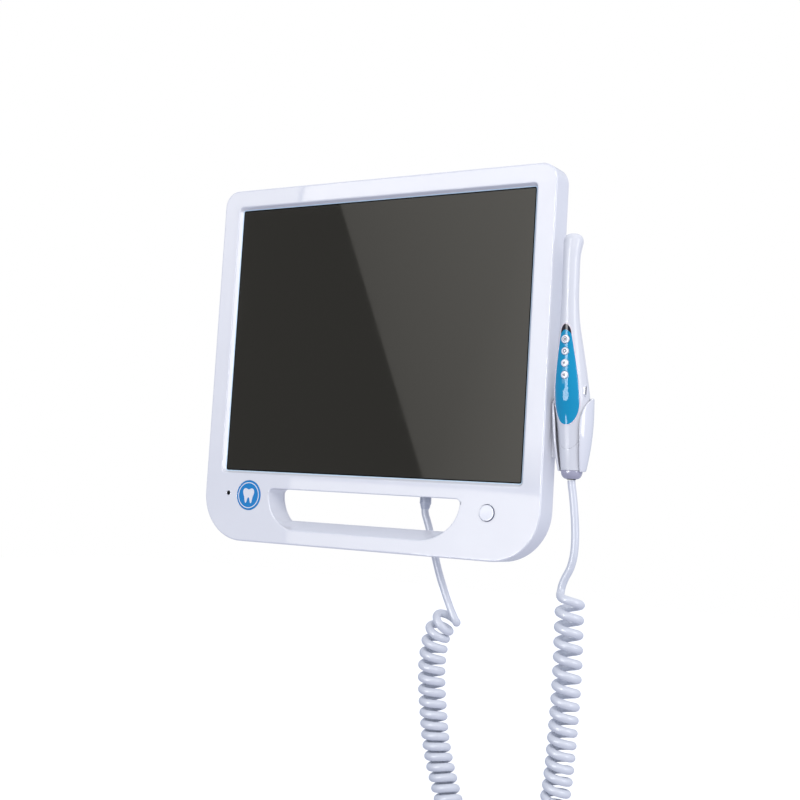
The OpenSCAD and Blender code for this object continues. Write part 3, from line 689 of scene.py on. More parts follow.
def make_plug():
    """The plug in the monitor's socket and its ribbed strain relief."""
    x, y, _ = PLUG_LEAD[0]
    below = lambda a, b, h: (x + a, y + b, h)
    shell = [(0, -137), (5.4, -137), (5.4, -147.9), (5.6, -148.2)]
    for k in range(4):
        z = -150 - 1.7 * k
        shell += [(5.6, z), (5.25, z - 0.35), (5.25, z - 0.75), (5.6, z - 1.1)]
    shell += [(5.6, -157.4), (5.3, -157.9), (5.0, -158), (0, -158)]
    plug = lathe(Build(), shell, below).piece("plug_body", "plug_grey", sharp=40)
    relief = [(0, -157.9), (5.15, -157.9)]
    for k in range(3):
        z = -158.4 - 1.45 * k
        r = 5.15 - 0.33 * k
        relief += [(r, z), (r - 0.1, z - 0.6), (r - 0.6, z - 0.75), (r - 0.65, z - 1.15)]
    relief += [(4.1, -162.7), (3.9, -163), (0, -163)]
    boot = lathe(Build(), relief, below).piece("plug_relief", "plug_grey", sharp=40)
    place_on(plug, "root", "plug_grey", "camera_plug")
    place_on(boot, "root", "plug_grey", "plug_strain_relief")
    return [plug, boot]


# ---- monitor ----


def housing_loop(inset):
    top, low = max(16 - inset, 1), max(48 - inset, 1)
    radii = [(low, low), (low, low), (top, top), (top, top)]
    return rounded_loop(-HALF_W + inset, HALF_W - inset, BOTTOM_Z + inset, TOP_Z - inset, radii, 20)


def screen_loop(grow):
    r = max(0.6, 2.0 + 0.8 * grow)
    half_w, half_h = SCREEN_HALF_W + grow, SCREEN_HALF_H + grow
    return rounded_loop(-half_w, half_w, -half_h, half_h, [(r, r)] * 4, 6)


def slot_loop(grow):
    radii = [(34 + grow, 36 + grow), (45 + grow, 38 + grow), (5 + grow, 5 + grow), (5 + grow, 5 + grow)]
    return rounded_loop(
        -SLOT_HALF_W - grow, SLOT_HALF_W + grow, SLOT_BOTTOM - grow, SLOT_TOP + grow, radii, 20
    )


def slot_ring(grow, y):
    """The slot's outline at a depth; its floor climbs towards the rear."""
    floor = SLOT_BOTTOM + SLOT_RISE * (y - FRONT_Y) / (SEAM_Y - FRONT_Y) - grow
    return [(x, y, max(z, floor)) for x, z in slot_loop(grow)]


def hole_walls(build, loop_of, y0, y1, fillet, steps=4):
    """A round-edged hole's wall, from the face at y0 to y1 behind it."""
    rings = [at_depth(loop_of(inset), y0 + depth) for inset, depth in quarter(fillet, steps)]
    return build.strip([*rings, at_depth(loop_of(0), y1)])


def flat_rim(build, loop_of, edge):
    """A narrow flat ring round an opening in the front, so that its edge's shading stays beside it."""
    build.strip([at_depth(loop_of(edge), FRONT_Y), at_depth(loop_of(edge + FLAT_RIM), FRONT_Y)])
    return loop_of(edge + FLAT_RIM)


def make_bezel():
    build = Build()
    round_r, inner = 1.5, WALL
    outer = [at_depth(housing_loop(inset), FRONT_Y + depth) for inset, depth in quarter(round_r, 8)]
    outer += [at_depth(housing_loop(0), SEAM_Y - 0.7), at_depth(housing_loop(0.25), SEAM_Y - 0.2)]
    outer += [at_depth(housing_loop(0.7), SEAM_Y), at_depth(housing_loop(inner), SEAM_Y)]
    outer += [at_depth(housing_loop(inner), FRONT_Y + inner)]
    build.strip(outer)
    edge = 0.7
    bevel = [(BEVEL_W + edge, 0), (BEVEL_W + 0.5 * edge, 0.08), (BEVEL_W, 0.3), (BEVEL_W - 0.4, 0.8)]
    bevel_foot = (0.8, 3.8)
    pale_lip = [bevel_foot, (0.3, 4.0), (0, MASK_DEPTH)]
    black_mask = [(0, MASK_DEPTH), (-1.0, MASK_DEPTH)]
    behind = [(-1.0, MASK_DEPTH), (-1.0, MASK_DEPTH + 0.3), (9, MASK_DEPTH + 0.3), (9, inner)]
    for look, steps in ((0, [*bevel, bevel_foot]), (1, pale_lip), (2, black_mask), (0, behind)):
        build.look = look
        build.strip([at_depth(screen_loop(grow), FRONT_Y + depth) for grow, depth in steps])
    lip = 1.0
    rings = [slot_ring(inset, FRONT_Y + depth) for inset, depth in quarter(lip, 6)]
    rings += [slot_ring(0, SEAM_Y - 0.5), slot_ring(0.3, SEAM_Y), slot_ring(inner, SEAM_Y)]
    rings += [at_depth(slot_loop(inner), FRONT_Y + inner)]
    build.strip(rings)
    power_hole = lambda grow: circle_loop(POWER_AT, POWER_R + 0.45 + grow)
    ir_hole = lambda grow: circle_loop(IR_AT, 2.3 + grow, 32)
    badge_hole = lambda grow: circle_loop(BADGE_AT, BADGE_R + 0.15 + grow, 80)
    hole_walls(build, power_hole, FRONT_Y, FRONT_Y + inner, 0.3)
    hole_walls(build, ir_hole, FRONT_Y, FRONT_Y + inner, 0.4)
    hole_walls(build, badge_hole, FRONT_Y, FRONT_Y + 0.6, 0.3)
    build.fill(badge_hole(0), [], lambda p: (p[0], FRONT_Y + 0.6, p[1]))
    edges = (
        (screen_loop, BEVEL_W + edge), (slot_loop, lip), (power_hole, 0.3), (ir_hole, 0.4),
        (badge_hole, 0.3),
    )
    holes = [flat_rim(build, loop_of, width) for loop_of, width in edges]
    build.fill(flat_rim(build, housing_loop, round_r), holes, lambda p: (p[0], FRONT_Y, p[1]))
    holes = [screen_loop(9), slot_loop(inner), power_hole(0), ir_hole(0)]
    build.fill(housing_loop(inner), holes, lambda p: (p[0], FRONT_Y + inner, p[1]))
    bezel = build.piece("bezel", "shell_white", materials=["rim_blue", "mask_black"])
    bezel.modifiers["weighted"].weight = 100
    return place_on(bezel, "root", "shell_white", "front_bezel")


def hump_loop(inset):
    r = max(26 - inset, 4)
    low = max(10 - inset * 0.5, 3)
    radii = [(low, low), (low, low), (r, r), (r, r)]
    return rounded_loop(-HUMP_HALF_W + inset, HUMP_HALF_W - inset, HUMP_BOTTOM, HUMP_TOP - inset, radii, 14)


def make_rear_cover():
    build = Build()
    flange_in = 1.0
    outer = [at_depth(housing_loop(flange_in), SEAM_Y), at_depth(housing_loop(flange_in), FLANGE_Y - 1.2)]
    outer += [at_depth(housing_loop(flange_in + i), FLANGE_Y - d) for i, d in quarter(1.2, 5)[::-1]]
    build.strip(outer)
    skin = [(-2.0, FLANGE_Y), (-0.9, FLANGE_Y + 0.25), (-0.15, FLANGE_Y + 0.9), (0.3, FLANGE_Y + 2.0)]
    skin += [(7.6, -6.6), (8.6, -4.6), (9.9, -2.9), (11.6, -1.5), (13.6, -0.6), (15.8, -0.1), (17.5, 0.0)]
    build.strip([at_depth(hump_loop(i), y) for i, y in skin])
    build.strip([at_depth(hump_loop(i), y) for i, y in ((3, SEAM_Y), (3, FLANGE_Y), (12, -5), (14, -3))])
    slot_back = lambda grow: [
        (x, max(z, SLOT_BOTTOM + SLOT_RISE - grow)) for x, z in slot_loop(grow)
    ]
    rings = [at_depth(slot_back(0), SEAM_Y), at_depth(slot_back(0), FLANGE_Y - 1)]
    rings += [at_depth(slot_back(i), FLANGE_Y - d) for i, d in quarter(1.0, 4)[::-1]]
    build.strip(rings)
    half = VESA_PITCH / 2
    bushes = [(sx * half, sz * half) for sx in (-1, 1) for sz in (-1, 1)]
    holes = [lambda grow, at=at: circle_loop(at, 5.1 + grow, 40) for at in bushes]
    holes += [lambda grow, i=i: capsule_loop(12 * i, 72 - grow, 96 + grow, 2 + grow) for i in range(-7, 8)]
    holes += [lambda grow, i=i: capsule_loop(12 * i, -118 - grow, -96 + grow, 2 + grow) for i in range(-3, 4)]
    lip = 0.5
    for hole in holes:
        rings = [at_depth(hole(i), -d) for i, d in quarter(lip, 3)]
        build.strip([*rings, at_depth(hole(0), -3)])
    build.fill(hump_loop(17.5), [h(lip) for h in holes], lambda p: (p[0], 0, p[1]))
    build.fill(hump_loop(14), [h(0) for h in holes], lambda p: (p[0], -3, p[1]))
    holes = [hump_loop(-2), slot_back(1.0)]
    build.fill(housing_loop(flange_in + 1.2), holes, lambda p: (p[0], FLANGE_Y, p[1]))
    holes = [hump_loop(3), slot_back(0)]
    build.fill(housing_loop(flange_in), holes, lambda p: (p[0], SEAM_Y, p[1]))
    cover = build.piece("back_cover", "shell_white")
    return place_on(cut(cover, socket_cutter()), "root", "shell_white", "rear_cover")


def socket_cutter():
    """The openings in the hump's lower wall, one over each socket, 0.2 mm clear of it."""
    build = Build()
    gap = 0.2
    heights = (HUMP_BOTTOM - 2, HUMP_BOTTOM + 8)
    for node in ("power_socket", "usb_socket", "video_socket"):
        low, high = node_box(node)
        loop = rounded_loop(low[0] - gap, high[0] + gap, low[1] - gap, high[1] + gap, [(1, 1)] * 4, 4)
        rings = [[(x, y, z) for x, y in loop] for z in heights]
        build.solid(rings)
    x, y, _ = PLUG_LEAD[0]
    loop = circle_loop((x, y), 7.1, 48)
    build.solid([[(a, b, z) for a, b in loop] for z in heights])
    return build.piece("cutter", "shell_white")


def make_power_button():
    low, high = node_box("power_button")
    face, base = -low[1], -high[1]
    skirt = -FRONT_Y - SKIRT_DEPTH
    place = facing_front(POWER_AT)
    dish = [(r, face - 0.12 + 0.12 * (r / 6.2) ** 2) for r in (0, 1.5, 3, 4.5, 6.2)]
    top = [*dish, (6.9, face - 0.03), (7.2, face - 0.15), (POWER_R, face - 0.4)]
    # The side wall and skirt take the dark grey: painted shade for the shadow in the gap round the proud key
    side = [(POWER_R, face - 0.4), (POWER_R, skirt), (SKIRT_R, skirt)]
    foot = [(SKIRT_R, skirt), (SKIRT_R, -FRONT_Y - 4), (2.5, -FRONT_Y - 4), (2.5, base), (0, base)]
    button = Build()
    for look, profile in ((0, top), (1, side), (0, foot)):
        button.look = look
        lathe(button, profile, place, 72)
    button = button.piece("power_key", "button_white", materials=["skirt_grey"])
    return place_on(button, "power_button", "button_white", "power_button")


def make_ir_lens():
    face = -FRONT_Y + 0.1
    place = facing_front(IR_AT)
    lens = lathe(Build(), [*dome(2.28, face, 0.4), (2.2, face - 5), (0, face - 5)], place, 32)
    turns = [math.radians(a) for a in range(0, 181, 20)]
    bead = [(2.3 + 0.4 * (1 - math.cos(a)), -FRONT_Y - 0.02 + 0.3 * math.sin(a)) for a in turns]
    lens.look = 1
    lathe(lens, [*bead, (3.1, -FRONT_Y - 0.3), (2.3, -FRONT_Y - 0.3), bead[0]], place, 32)
    lens = lens.piece("ir_window", "lens_black", materials=["button_white"])
    return place_on(lens, "root", "window_black", "ir_lens")


def tooth_loop(scale):
    """A generic tooth pictogram: two rounded cusps above, two short roots below."""
    half = [
        (0, 5.1), (1.3, 5.5), (2.9, 6.2), (4.6, 6.0), (5.9, 4.6), (6.2, 2.6), (5.6, 0.4), (4.7, -1.6),
        (4.2, -4.2), (3.6, -6.4), (2.7, -7.2), (2.0, -6.3), (1.5, -4.3), (0.9, -2.6), (0, -1.9),
    ]
    rows = spline([(x, 0, z) for x, z in half], 0.6)[:, [0, 2]]
    left = [(-x, z) for x, z in rows[::-1][1:-1]]
    return [(x * scale, z * scale) for x, z in [*rows, *left]]


def make_badge():
    """A plain blue disc with a white tooth pictogram and ring standing a hair proud."""
    face = -FRONT_Y + 0.2
    place = facing_front(BADGE_AT)
    edge = [(14.6, face - 0.08), (BADGE_R, face - 0.4), (BADGE_R, face - 0.75), (0, face - 0.75)]
    build = lathe(Build(), [(0, face), (13.6, face), *edge], place, 96)
    build.look = 1
    low, high = face - 0.1, face + 0.08
    annulus(build, place, 12.2, 13.1, low, high, 96)
    loop = tooth_loop(1.12)
    build.strip([[place(x, z, h) for x, z in loop] for h in (low, high)])
    build.fill(loop, [], lambda p: place(p[0], p[1], high))
    build.fill(loop, [], lambda p: place(p[0], p[1], low))
    badge = build.piece("round_badge", "badge_blue", materials=["badge_white"])
    return place_on(badge, "root", "badge_blue", "badge")


def screw_shape(build, place, head_r, head_h, shank_r, length):
    """A pan head screw, its cross recess left to the caller's cutter; height runs out of the head."""
    shank = [(shank_r, 0), (shank_r, -length + 0.6), (shank_r * 0.5, -length), (0, -length)]
    lathe(build, [*dome(head_r, head_h, 0.65 * head_h), (head_r, 0), *shank], place, 32)


def cross_cutter(build, place, reach, width, top, bottom):
    a, b = reach, width / 2
    loop = [
        (b, b), (b, a), (-b, a), (-b, b), (-a, b), (-a, -b),
        (-b, -b), (-b, -a), (b, -a), (b, -b), (a, -b), (a, b),
    ]
    build.solid([[place(x, z, h) for x, z in loop] for h in (bottom, top)])


def make_screws(name, node, body, places, y, head_r, head_h, shank_r, length):
    """Screws in the rear, their heads to +Y."""
    build, cutter = Build(), Build()
    for x, z in places:
        place = lambda a, b, h, x=x, z=z: (x + a, y + h, z + b)
        screw_shape(build, place, head_r, head_h, shank_r, length)
        cross_cutter(cutter, place, 0.55 * head_r, 0.26 * head_r, head_h + 1, head_h * 0.35)
    screws = build.piece(name, "screw_steel")
    cut(screws, cutter.piece("cutter", "screw_steel"))
    return place_on(screws, body, "screw_steel", node)


def make_cover_screws():
    side = HALF_W - 7
    places = [(s * side, z) for s in (-1, 1) for z in (128, 20, -88)]
    places += [(s * 80, TOP_Z - 6.5) for s in (-1, 1)] + [(s * 60, BOTTOM_Z + 7.2) for s in (-1, 1)]
    make_screws("cover_screws", "rear_cover_screws", "root", places, FLANGE_Y, 2.6, 1.5, 1.25, 12)


def rounded_copy(name, node, width):
    """The CAD node's own shape with its edges rounded."""
    obj = bpy.data.objects.new(name, NODES[node].data.copy())
    bpy.context.scene.collection.objects.link(obj)
    slot = SLOT_OF[node]
    obj.data.materials.clear()
    obj.data.materials.append(MATERIALS[slot])
    bm = bmesh.new()
    bm.from_mesh(obj.data)
    bmesh.ops.remove_doubles(bm, verts=bm.verts, dist=0.001 * MM)
    bmesh.ops.dissolve_limit(bm, angle_limit=math.radians(1), verts=bm.verts, edges=bm.edges)
    bm.to_mesh(obj.data)
    bm.free()
    bevel = obj.modifiers.new("round", "BEVEL")
    bevel.width = width * MM
    bevel.segments = 3
    bevel.limit_method = "ANGLE"
    bevel.angle_limit = math.radians(40)
    finish_shading(obj, 60)
    return place_on(obj, "root", slot, node)


# ---- wand ----


def wand_centre(z):
    return smooth_row(WAND_OUTLINE, min(z, HEAD_Z), 1)


def wand_radius(z):
    r = smooth_row(WAND_OUTLINE, min(z, HEAD_Z), 2)
    if z > HEAD_Z:
        r *= max(0.0, 1 - ((z - HEAD_Z) / (HEAD_TOP - HEAD_Z)) ** 2.6) ** (1 / 2.6)
    return max(r, 0.02)


def on_wand(z, angle, depth=0.0):
    """A point of the wand: angle 0 faces the front, in degrees; depth is under its skin."""
    r = max(0.01, wand_radius(z) - depth)
    a = math.radians(angle)
    x, y = WAND_X + r * math.sin(a), wand_centre(z) - r * math.cos(a)
    if z > 60:
        y = min(y, HEAD_FLAT_Y)
    return (x, y, z)


PANEL_ROWS = [(-92, 11.2), (-70, 11.6), (-58, 11.6), (-45, 11.1), (-30, 9.5), (-15, 7.3), (-4, 5.5), (8, 3.5)]
PANEL_LOW, PANEL_HIGH = -81.6, 6.6
PANEL_LOW_ROUND, PANEL_HIGH_ROUND = 23.6, 6.6


def panel_half_width(z):
    """Half the blue panel's width at a height, with round ends."""
    w = smooth_row(PANEL_ROWS, z, 1)
    ends = (
        (PANEL_LOW + PANEL_LOW_ROUND - z, PANEL_LOW_ROUND),
        (z - PANEL_HIGH + PANEL_HIGH_ROUND, PANEL_HIGH_ROUND),
    )
    for past, size in ends:
        if past > 0:
            w *= max(0.0, 1 - (past / size) ** 2.2) ** (1 / 2.2)
    return w


def panel_angle(z, grow=0.0):
    return math.degrees(math.asin(min(1, (panel_half_width(z) + grow) / wand_radius(z))))


def eased(a, b, n):
    """n + 1 places from a to b, crowded towards both ends."""
    return [a + (b - a) * (1 - math.cos(math.pi * k / n)) / 2 for k in range(n + 1)]


def tongue_angle(z):
    if z >= SPLIT_Z:
        return 90.0
    return 90 * math.sqrt(max(0.0, (z - TONGUE_Z) / (SPLIT_Z - TONGUE_Z)))


def tongue_heights(n=16):
    return [TONGUE_Z + (SPLIT_Z - TONGUE_Z) * (k / n) ** 2 for k in range(n + 1)]


def head_heights():
    body = list(np.linspace(PANEL_HIGH + 1.5, HEAD_Z, 44))
    return body + [HEAD_Z + (HEAD_TOP - HEAD_Z) * math.sin(math.pi / 2 * k / 14) for k in range(1, 15)]


SEAM_GAP = 0.09
SEAM_DIP = 0.22


def solid_skin(obj, thickness):
    """Gives an open skin its wall, inwards."""
    wall = obj.modifiers.new("wall", "SOLIDIFY")
    wall.thickness = thickness * MM
    wall.offset = -1
    wall.use_even_offset = False
    return baked(obj)


def make_front_shell():
    """The front half of the wand's shell, with the panel's opening."""
    gap = 0.15
    low, high = PANEL_LOW - gap, PANEL_HIGH + gap
    heights = [*tongue_heights(), *eased(low, high, 70), *head_heights()[1:]]
    heights = sorted(set(round(z, 4) for z in heights if not SPLIT_Z < z < low))
    build = Build()
    n = 14
    for side in (-1, 1):
        rows = []
        for z in heights:
            seam = math.degrees(SEAM_GAP / wand_radius(z)) if wand_radius(z) > 1 else 0
            a1 = max(0.0, tongue_angle(z) - seam)
            a0 = panel_angle(z, gap) if low < z < high else 0.0
            row = []
            for k in range(n + 1):
                u = k / n
                dip = SEAM_DIP * max(0.0, (u - 0.93) / 0.07) ** 2
                row.append(on_wand(z, side * (a0 + (a1 - a0) * u), dip))
            rows.append(row)
        build.strip(rows, closed=False)
    shell = build.piece("wand_front", "wand_white", merge=0.02)
    return place_on(solid_skin(shell, 1.0), "wand", "shell_white", "wand_front_shell")


def back_skin(z):
    return wand_centre(z) + wand_radius(z)


WAND_SCREW_Z = (-22.0, -96.0)


def make_rear_shell():
    """The rear half of the shell, which closes round the tail below the front half's tongue."""
    tail = list(np.linspace(WAND_TAIL_Z, TONGUE_Z, 14))
    heights = [*tail[:-1], *tongue_heights(), *np.linspace(SPLIT_Z, PANEL_HIGH, 60)[1:], *head_heights()]
    build = Build()
    n = 56
    rows = []
    for z in heights:
        seam = math.degrees(SEAM_GAP / wand_radius(z)) if wand_radius(z) > 1 else 0
        a0 = tongue_angle(z) + seam if z > TONGUE_Z else 0.0
        row = []
        for k in range(n + 1):
            u = k / n
            edge = max(0.0, (abs(2 * u - 1) - 0.965) / 0.035) if z > TONGUE_Z else 0.0
            row.append(on_wand(z, a0 + (360 - 2 * a0) * u, SEAM_DIP * edge**2))
        rows.append(row)
    build.strip(rows, closed=False)
    shell = solid_skin(build.piece("wand_rear", "wand_white", merge=0.02), 1.6)
    cutter = Build()
    for at, y, depth, r in [((WAND_X, WINDOW_Z), HEAD_FLAT_Y, 3, 4.25)] + [
        ((WAND_X, z), back_skin(z), 2.4, 2.1) for z in WAND_SCREW_Z
    ]:
        cutter.solid([at_depth(circle_loop(at, r, 40), y_end) for y_end in (y - depth, y + 4)])
    cut(shell, cutter.piece("cutter", "wand_white"))
    return place_on(shell, "wand", "shell_white", "wand_rear_shell")


def make_wand_screws():
    for i, z in enumerate(WAND_SCREW_Z):
        y = back_skin(z) - 2.4
        build, cutter = Build(), Build()
        place = lambda a, b, h: (WAND_X + a, y + h, z + b)
        screw_shape(build, place, 1.9, 1.3, 0.95, 7)
        cross_cutter(cutter, place, 1.05, 0.5, 2.3, 0.5)
        screw = build.piece(f"wand_screw_{i + 1}", "screw_steel")
        cut(screw, cutter.piece("cutter", "screw_steel"))
        place_on(screw, "wand", "screw_steel", "wand_screws")


def panel_split(u):
    """Height of the edge between the blue panel and its black top, which arches up in the middle."""
    return 1.2 - 4.2 * u * u


def panel_ring(z_of, n=40):
    """One closed ring across the panel: its crowned top, then its underside."""
    top, under = [], []
    for k in range(n + 1):
        u = -1 + 2 * k / n
        z = z_of(u)
        edge = max(0.0, (abs(u) - 0.9) / 0.1)
        angle = u * panel_angle(z)
        top.append(on_wand(z, angle, -PANEL_PROUD + 0.3 * edge**3))
        under.append(on_wand(z, angle, 1.0))
    return top + under[::-1]


def make_panel():
    """The blue panel, its black top and a thin pale pink bead round both, whose colour paints the highlight
    on the edge of the panel's recess.
    """
    blue, black = Build(), Build()
    steps = 72
    rings = [
        panel_ring(lambda u, t=t: PANEL_LOW + 0.02 + (panel_split(u) - PANEL_LOW - 0.02) * t)
        for t in eased(0, 1, steps)
    ]
    blue.solid(rings)
    rings = [
        panel_ring(lambda u, t=t: panel_split(u) + (PANEL_HIGH - 0.02 - panel_split(u)) * t)
        for t in eased(0, 1, 20)
    ]
    black.solid(rings)
    panel = blue.piece("blue_panel", "panel_blue", sharp=50)
    holes = Build()
    for z, r in zip(BUTTON_Z, BUTTON_R):
        y = wand_centre(z) - wand_radius(z)
        loop = circle_loop((WAND_X, z), r + KEY_GAP, 48)
        holes.solid([at_depth(loop, y + d) for d in (-3, 3)])
    cut(panel, holes.piece("cutter", "panel_blue"), 50)
    place_on(panel, "wand", "panel_blue", "button_panel")
    window = black.piece("panel_top", "window_black", sharp=50)
    place_on(window, "wand", "window_black", "panel_window")
    # A bead round both, pale pink: its colour is a painted highlight on the recess edge
    rim = Build()
    line = []
    for side in (1, -1):
        heights = eased(PANEL_LOW, PANEL_HIGH, 60)
        for z in heights if side > 0 else heights[::-1]:
            line.append(on_wand(z, side * panel_angle(z, 0.15), -0.05))
    line = np.array(line[:-1])
    keep = [0]
    for i in range(1, len(line)):
        if np.linalg.norm(line[i] - line[keep[-1]]) > 0.25:
            keep.append(i)
    line = line[keep]
    rings = []
    bead = 0.38
    for i, p in enumerate(line):
        t = line[(i + 1) % len(line)] - line[i - 1]
        t = t / np.linalg.norm(t)
        out = p - np.array([WAND_X, wand_centre(p[2]), p[2]])
        out -= (out @ t) * t
        out /= np.linalg.norm(out)
        other = np.cross(t, out)
        rings.append(ring_round(p, out, other, bead, 10))
    rings.append(rings[0])
    rim.strip(rings)
    place_on(rim.piece("panel_rim", "rim_pink", sharp=60, merge=0.001), "wand", "button_white")


def annulus(build, place, r0, r1, h0, h1, n=40):
    lathe(build, [(r1, h0), (r1, h1), (r0, h1), (r0, h0), (r1, h0)], place, n)


def prism(build, place, loop, h0, h1):
    build.solid([[place(x, z, h) for x, z in loop] for h in (h0, h1)])


def button_icon(build, place, index, h):
    """Small printed symbols: a ringed dot, a ring, and two arrow heads."""
    low, high = h - 0.05, h + 0.03
    if index == 0:
        annulus(build, place, 1.7, 2.25, low, high)
        annulus(build, place, 0.3, 1.1, low, high)
    elif index == 1:
        annulus(build, place, 0.95, 1.75, low, high)
    else:
        prism(build, place, [(-1.9, 0), (-0.4, 1.2), (-0.4, -1.2)], low, high)
        prism(build, place, [(-0.1, -1.2), (0.45, -1.2), (0.45, 1.2), (-0.1, 1.2)], low, high)


def make_buttons():
    names = ("capture_button", "freeze_button", "next_button", "previous_button")
    for i, name in enumerate(names):
        z, r = BUTTON_Z[i], BUTTON_R[i]
        top = -node_box(name)[0][1]
        foot = -node_box(name)[1][1]
        crown = [(0, 0), (0.55, 0), (0.72, 0.03), (0.86, 0.14), (0.95, 0.34), (1, 0.62), (1, 1.6)]
        profile = [(share * r, top - drop) for share, drop in crown]
        profile += [(1.6, top - 1.6), (1.6, foot), (0, foot)]
        place = facing_front((WAND_X, z))
        build = lathe(Build(), profile, place, 48)
        build.look = 1
        button_icon(build, place, i, top)
        key = build.piece(name.replace("button", "key"), "button_white", materials=["icon_grey"], merge=0.001)
        place_on(key, name, "button_white", name)


def oval_loop(half_y, half_z, n=10):
    _, at_y, at_z = sum(node_box("side_button")) / 2
    return [(y, z) for y, z in capsule_loop(at_y, at_z - half_z, at_z + half_z, half_y, n)]


def make_side_button():
    """The oval button on the wand's side and the pale rim round it."""
    rim = Build()
    skin = [
        (2.75, 5.3, 12.9), (2.75, 5.3, 15.2), (2.6, 5.15, 15.5), (2.3, 4.85, 15.62),
        (2.0, 4.6, 15.5), (1.85, 4.45, 15.2), (1.85, 4.45, 12.9),
    ]
    rings = [[(WAND_X + x, y, z) for y, z in oval_loop(hy, hz)] for hy, hz, x in skin]
    rings.append(rings[0])
    rim.strip(rings)
    place_on(rim.piece("side_rim", "button_white"), "wand", "button_white", "side_button_rim")
    key = Build()
    skin = [
        (0.3, 2.6, 15.3), (0.8, 3.3, 15.27), (1.2, 3.8, 15.15), (1.5, 4.1, 14.8),
        (1.5, 4.1, 12.6), (2.3, 4.9, 12.6), (2.3, 4.9, 11.6),
    ]
    rings = [[(WAND_X + x, y, z) for y, z in oval_loop(hy, hz)] for hy, hz, x in skin]
    key.solid(rings)
    place_on(key.piece("side_key", "socket_black"), "side_button", "socket_black", "side_button")


def make_tail():
    """The wand's tail cap and the dark boot where the cord leaves it."""
    bottom = WAND_TAIL_Z - 7.6
    place = lambda a, b, h: (WAND_X + a, -31 + b, h)
    turns = [math.radians(a) for a in range(0, 91, 6)]
    curve = [(4.6 + 5 * math.sin(a), bottom + 7 - 7 * math.cos(a)) for a in turns]
    top = [(9.62, WAND_TAIL_Z - 0.35), (9.4, WAND_TAIL_Z - 0.12), (8.2, WAND_TAIL_Z)]
    profile = [(4.25, bottom + 0.2), (4.4, bottom), *curve, *top]
    profile += [(4.25, WAND_TAIL_Z), (4.25, bottom + 0.2)]
    # The cap's grey is partly painted shade: darkened for the shade under the tail
    cap = lathe(Build(), profile, place, 72).piece("wand_tail", "tail_grey")
    place_on(cap, "wand", "tail_grey", "tail_cap")
    low = WAND_TAIL_Z - 8.2
    steps = [
        (0, 0), (3.5, 0), (3.9, 0), (4.1, 0.25), (4.1, 1.2), (3.95, 1.4), (4.1, 1.6), (4.1, 8), (0, 8),
    ]
    profile = [(r, low + h) for r, h in steps]
    boot = lathe(Build(), profile, place, 48).piece("wand_boot", "boot_black")
    place_on(boot, "wand", "boot_black", "cord_boot")


def make_head_window():
    """Domed cover glass over the lens and its ring of lights."""
    place = lambda a, b, h: (WAND_X + a, h, WINDOW_Z + b)
    r, back = 4.2, HEAD_FLAT_Y - 1
    glass = lathe(Build(), [*dome(r, HEAD_FLAT_Y, 0.35), (r, back), (0, back)], place, 40)
    place_on(glass.piece("cover_glass", "lens_glass"), "wand", "lens_glass", "head_window")


# ---- cradle ----

# Half the width of the cradle's open mouth, by height along its axis
MOUTH_EDGE = [
    (-65, 10.7), (-50, 11.4), (-34, 12.3), (-24, 12.45), (-17.5, 13.2), (-11.5, 14.6), (-6, 16.6),
    (0, 19.4),
]
CRADLE_R = 18.6
CRADLE_WALL = 1.8
CRADLE_SIDES = 72
LIP_TURNS = (30, 60, 90, 120, 150)


def cradle_radius(h):
    bulge, foot = -11.0, -65.0
    return CRADLE_R if h > bulge else CRADLE_R - 6.2 * ((bulge - h) / (bulge - foot)) ** 2


def on_cradle(h, angle, depth):
    """A point of the cradle: height along its axis, degrees from the front, depth under its skin."""
    r = cradle_radius(h) - depth
    a = math.radians(angle)
    x, y = r * math.sin(a), -r * math.cos(a)
    tilt = Matrix.Rotation(CRADLE_LEAN, 3, "X")
    return CRADLE_TOP + tilt @ Vector((x, y, h))


def cradle_ring(h, thin):
    """Closed ring round the cradle's wall at a height; thin squeezes the wall towards its middle."""
    n = CRADLE_SIDES
    middle = CRADLE_WALL / 2
    half = middle * thin
    r = cradle_radius(h)
    edge = min(smooth_row(MOUTH_EDGE, h, 1), r * 0.9995)
    a0 = math.degrees(math.asin(edge / r)) + math.degrees(half / r)
    outer = [on_cradle(h, a0 + (360 - 2 * a0) * k / n, middle - half) for k in range(n + 1)]
    inner = [on_cradle(h, a0 + (360 - 2 * a0) * k / n, middle + half) for k in range(n, -1, -1)]
    turn_r = math.degrees(half / r)
    turns = [math.radians(v) for v in LIP_TURNS]

    def lip(sign, centre):
        return [
            on_cradle(h, centre + sign * turn_r * math.sin(a), middle - half * math.cos(a))
            for a in turns
        ]

    return outer + lip(1, 360 - a0) + inner + lip(-1, a0)[::-1]


def make_cradle():
    build = Build()
    turns = [math.radians(v) for v in (8, 30, 60, 90)]
    heights = [(-65 + 0.9 * (1 - math.cos(a)), math.sin(a)) for a in turns]
    heights += [(h, 1.0) for h in np.linspace(-64, -1.0, 64)]
    heights += [(-0.9 * (1 - math.cos(a)), max(0.1, math.sin(a))) for a in turns[::-1]]
    rings = [cradle_ring(h, thin) for h, thin in heights]
    build.strip(rings)
    last = len(rings[0])
    n = CRADLE_SIDES
    for ring in (rings[0], rings[-1]):
        outer, inner = ring[: n + 1], ring[n + 6 : 2 * n + 7][::-1]
        build.strip([outer, inner], closed=False)
        build.cap([*ring[n : n + 7]])
        build.cap([ring[2 * n + 6], *ring[2 * n + 7 : last], ring[0]])
    cradle = build.piece("cradle", "shell_white")
    return place_on(cradle, "root", "shell_white", "wand_holder")


# ---- what the CAD shape already gives ----


def dress_nodes():
    """Every CAD node takes the material of its slot."""
    for node, obj in NODES.items():
        for slot in obj.material_slots:
            slot.material = MATERIALS[SLOT_OF[node]]


# ---- studio ----

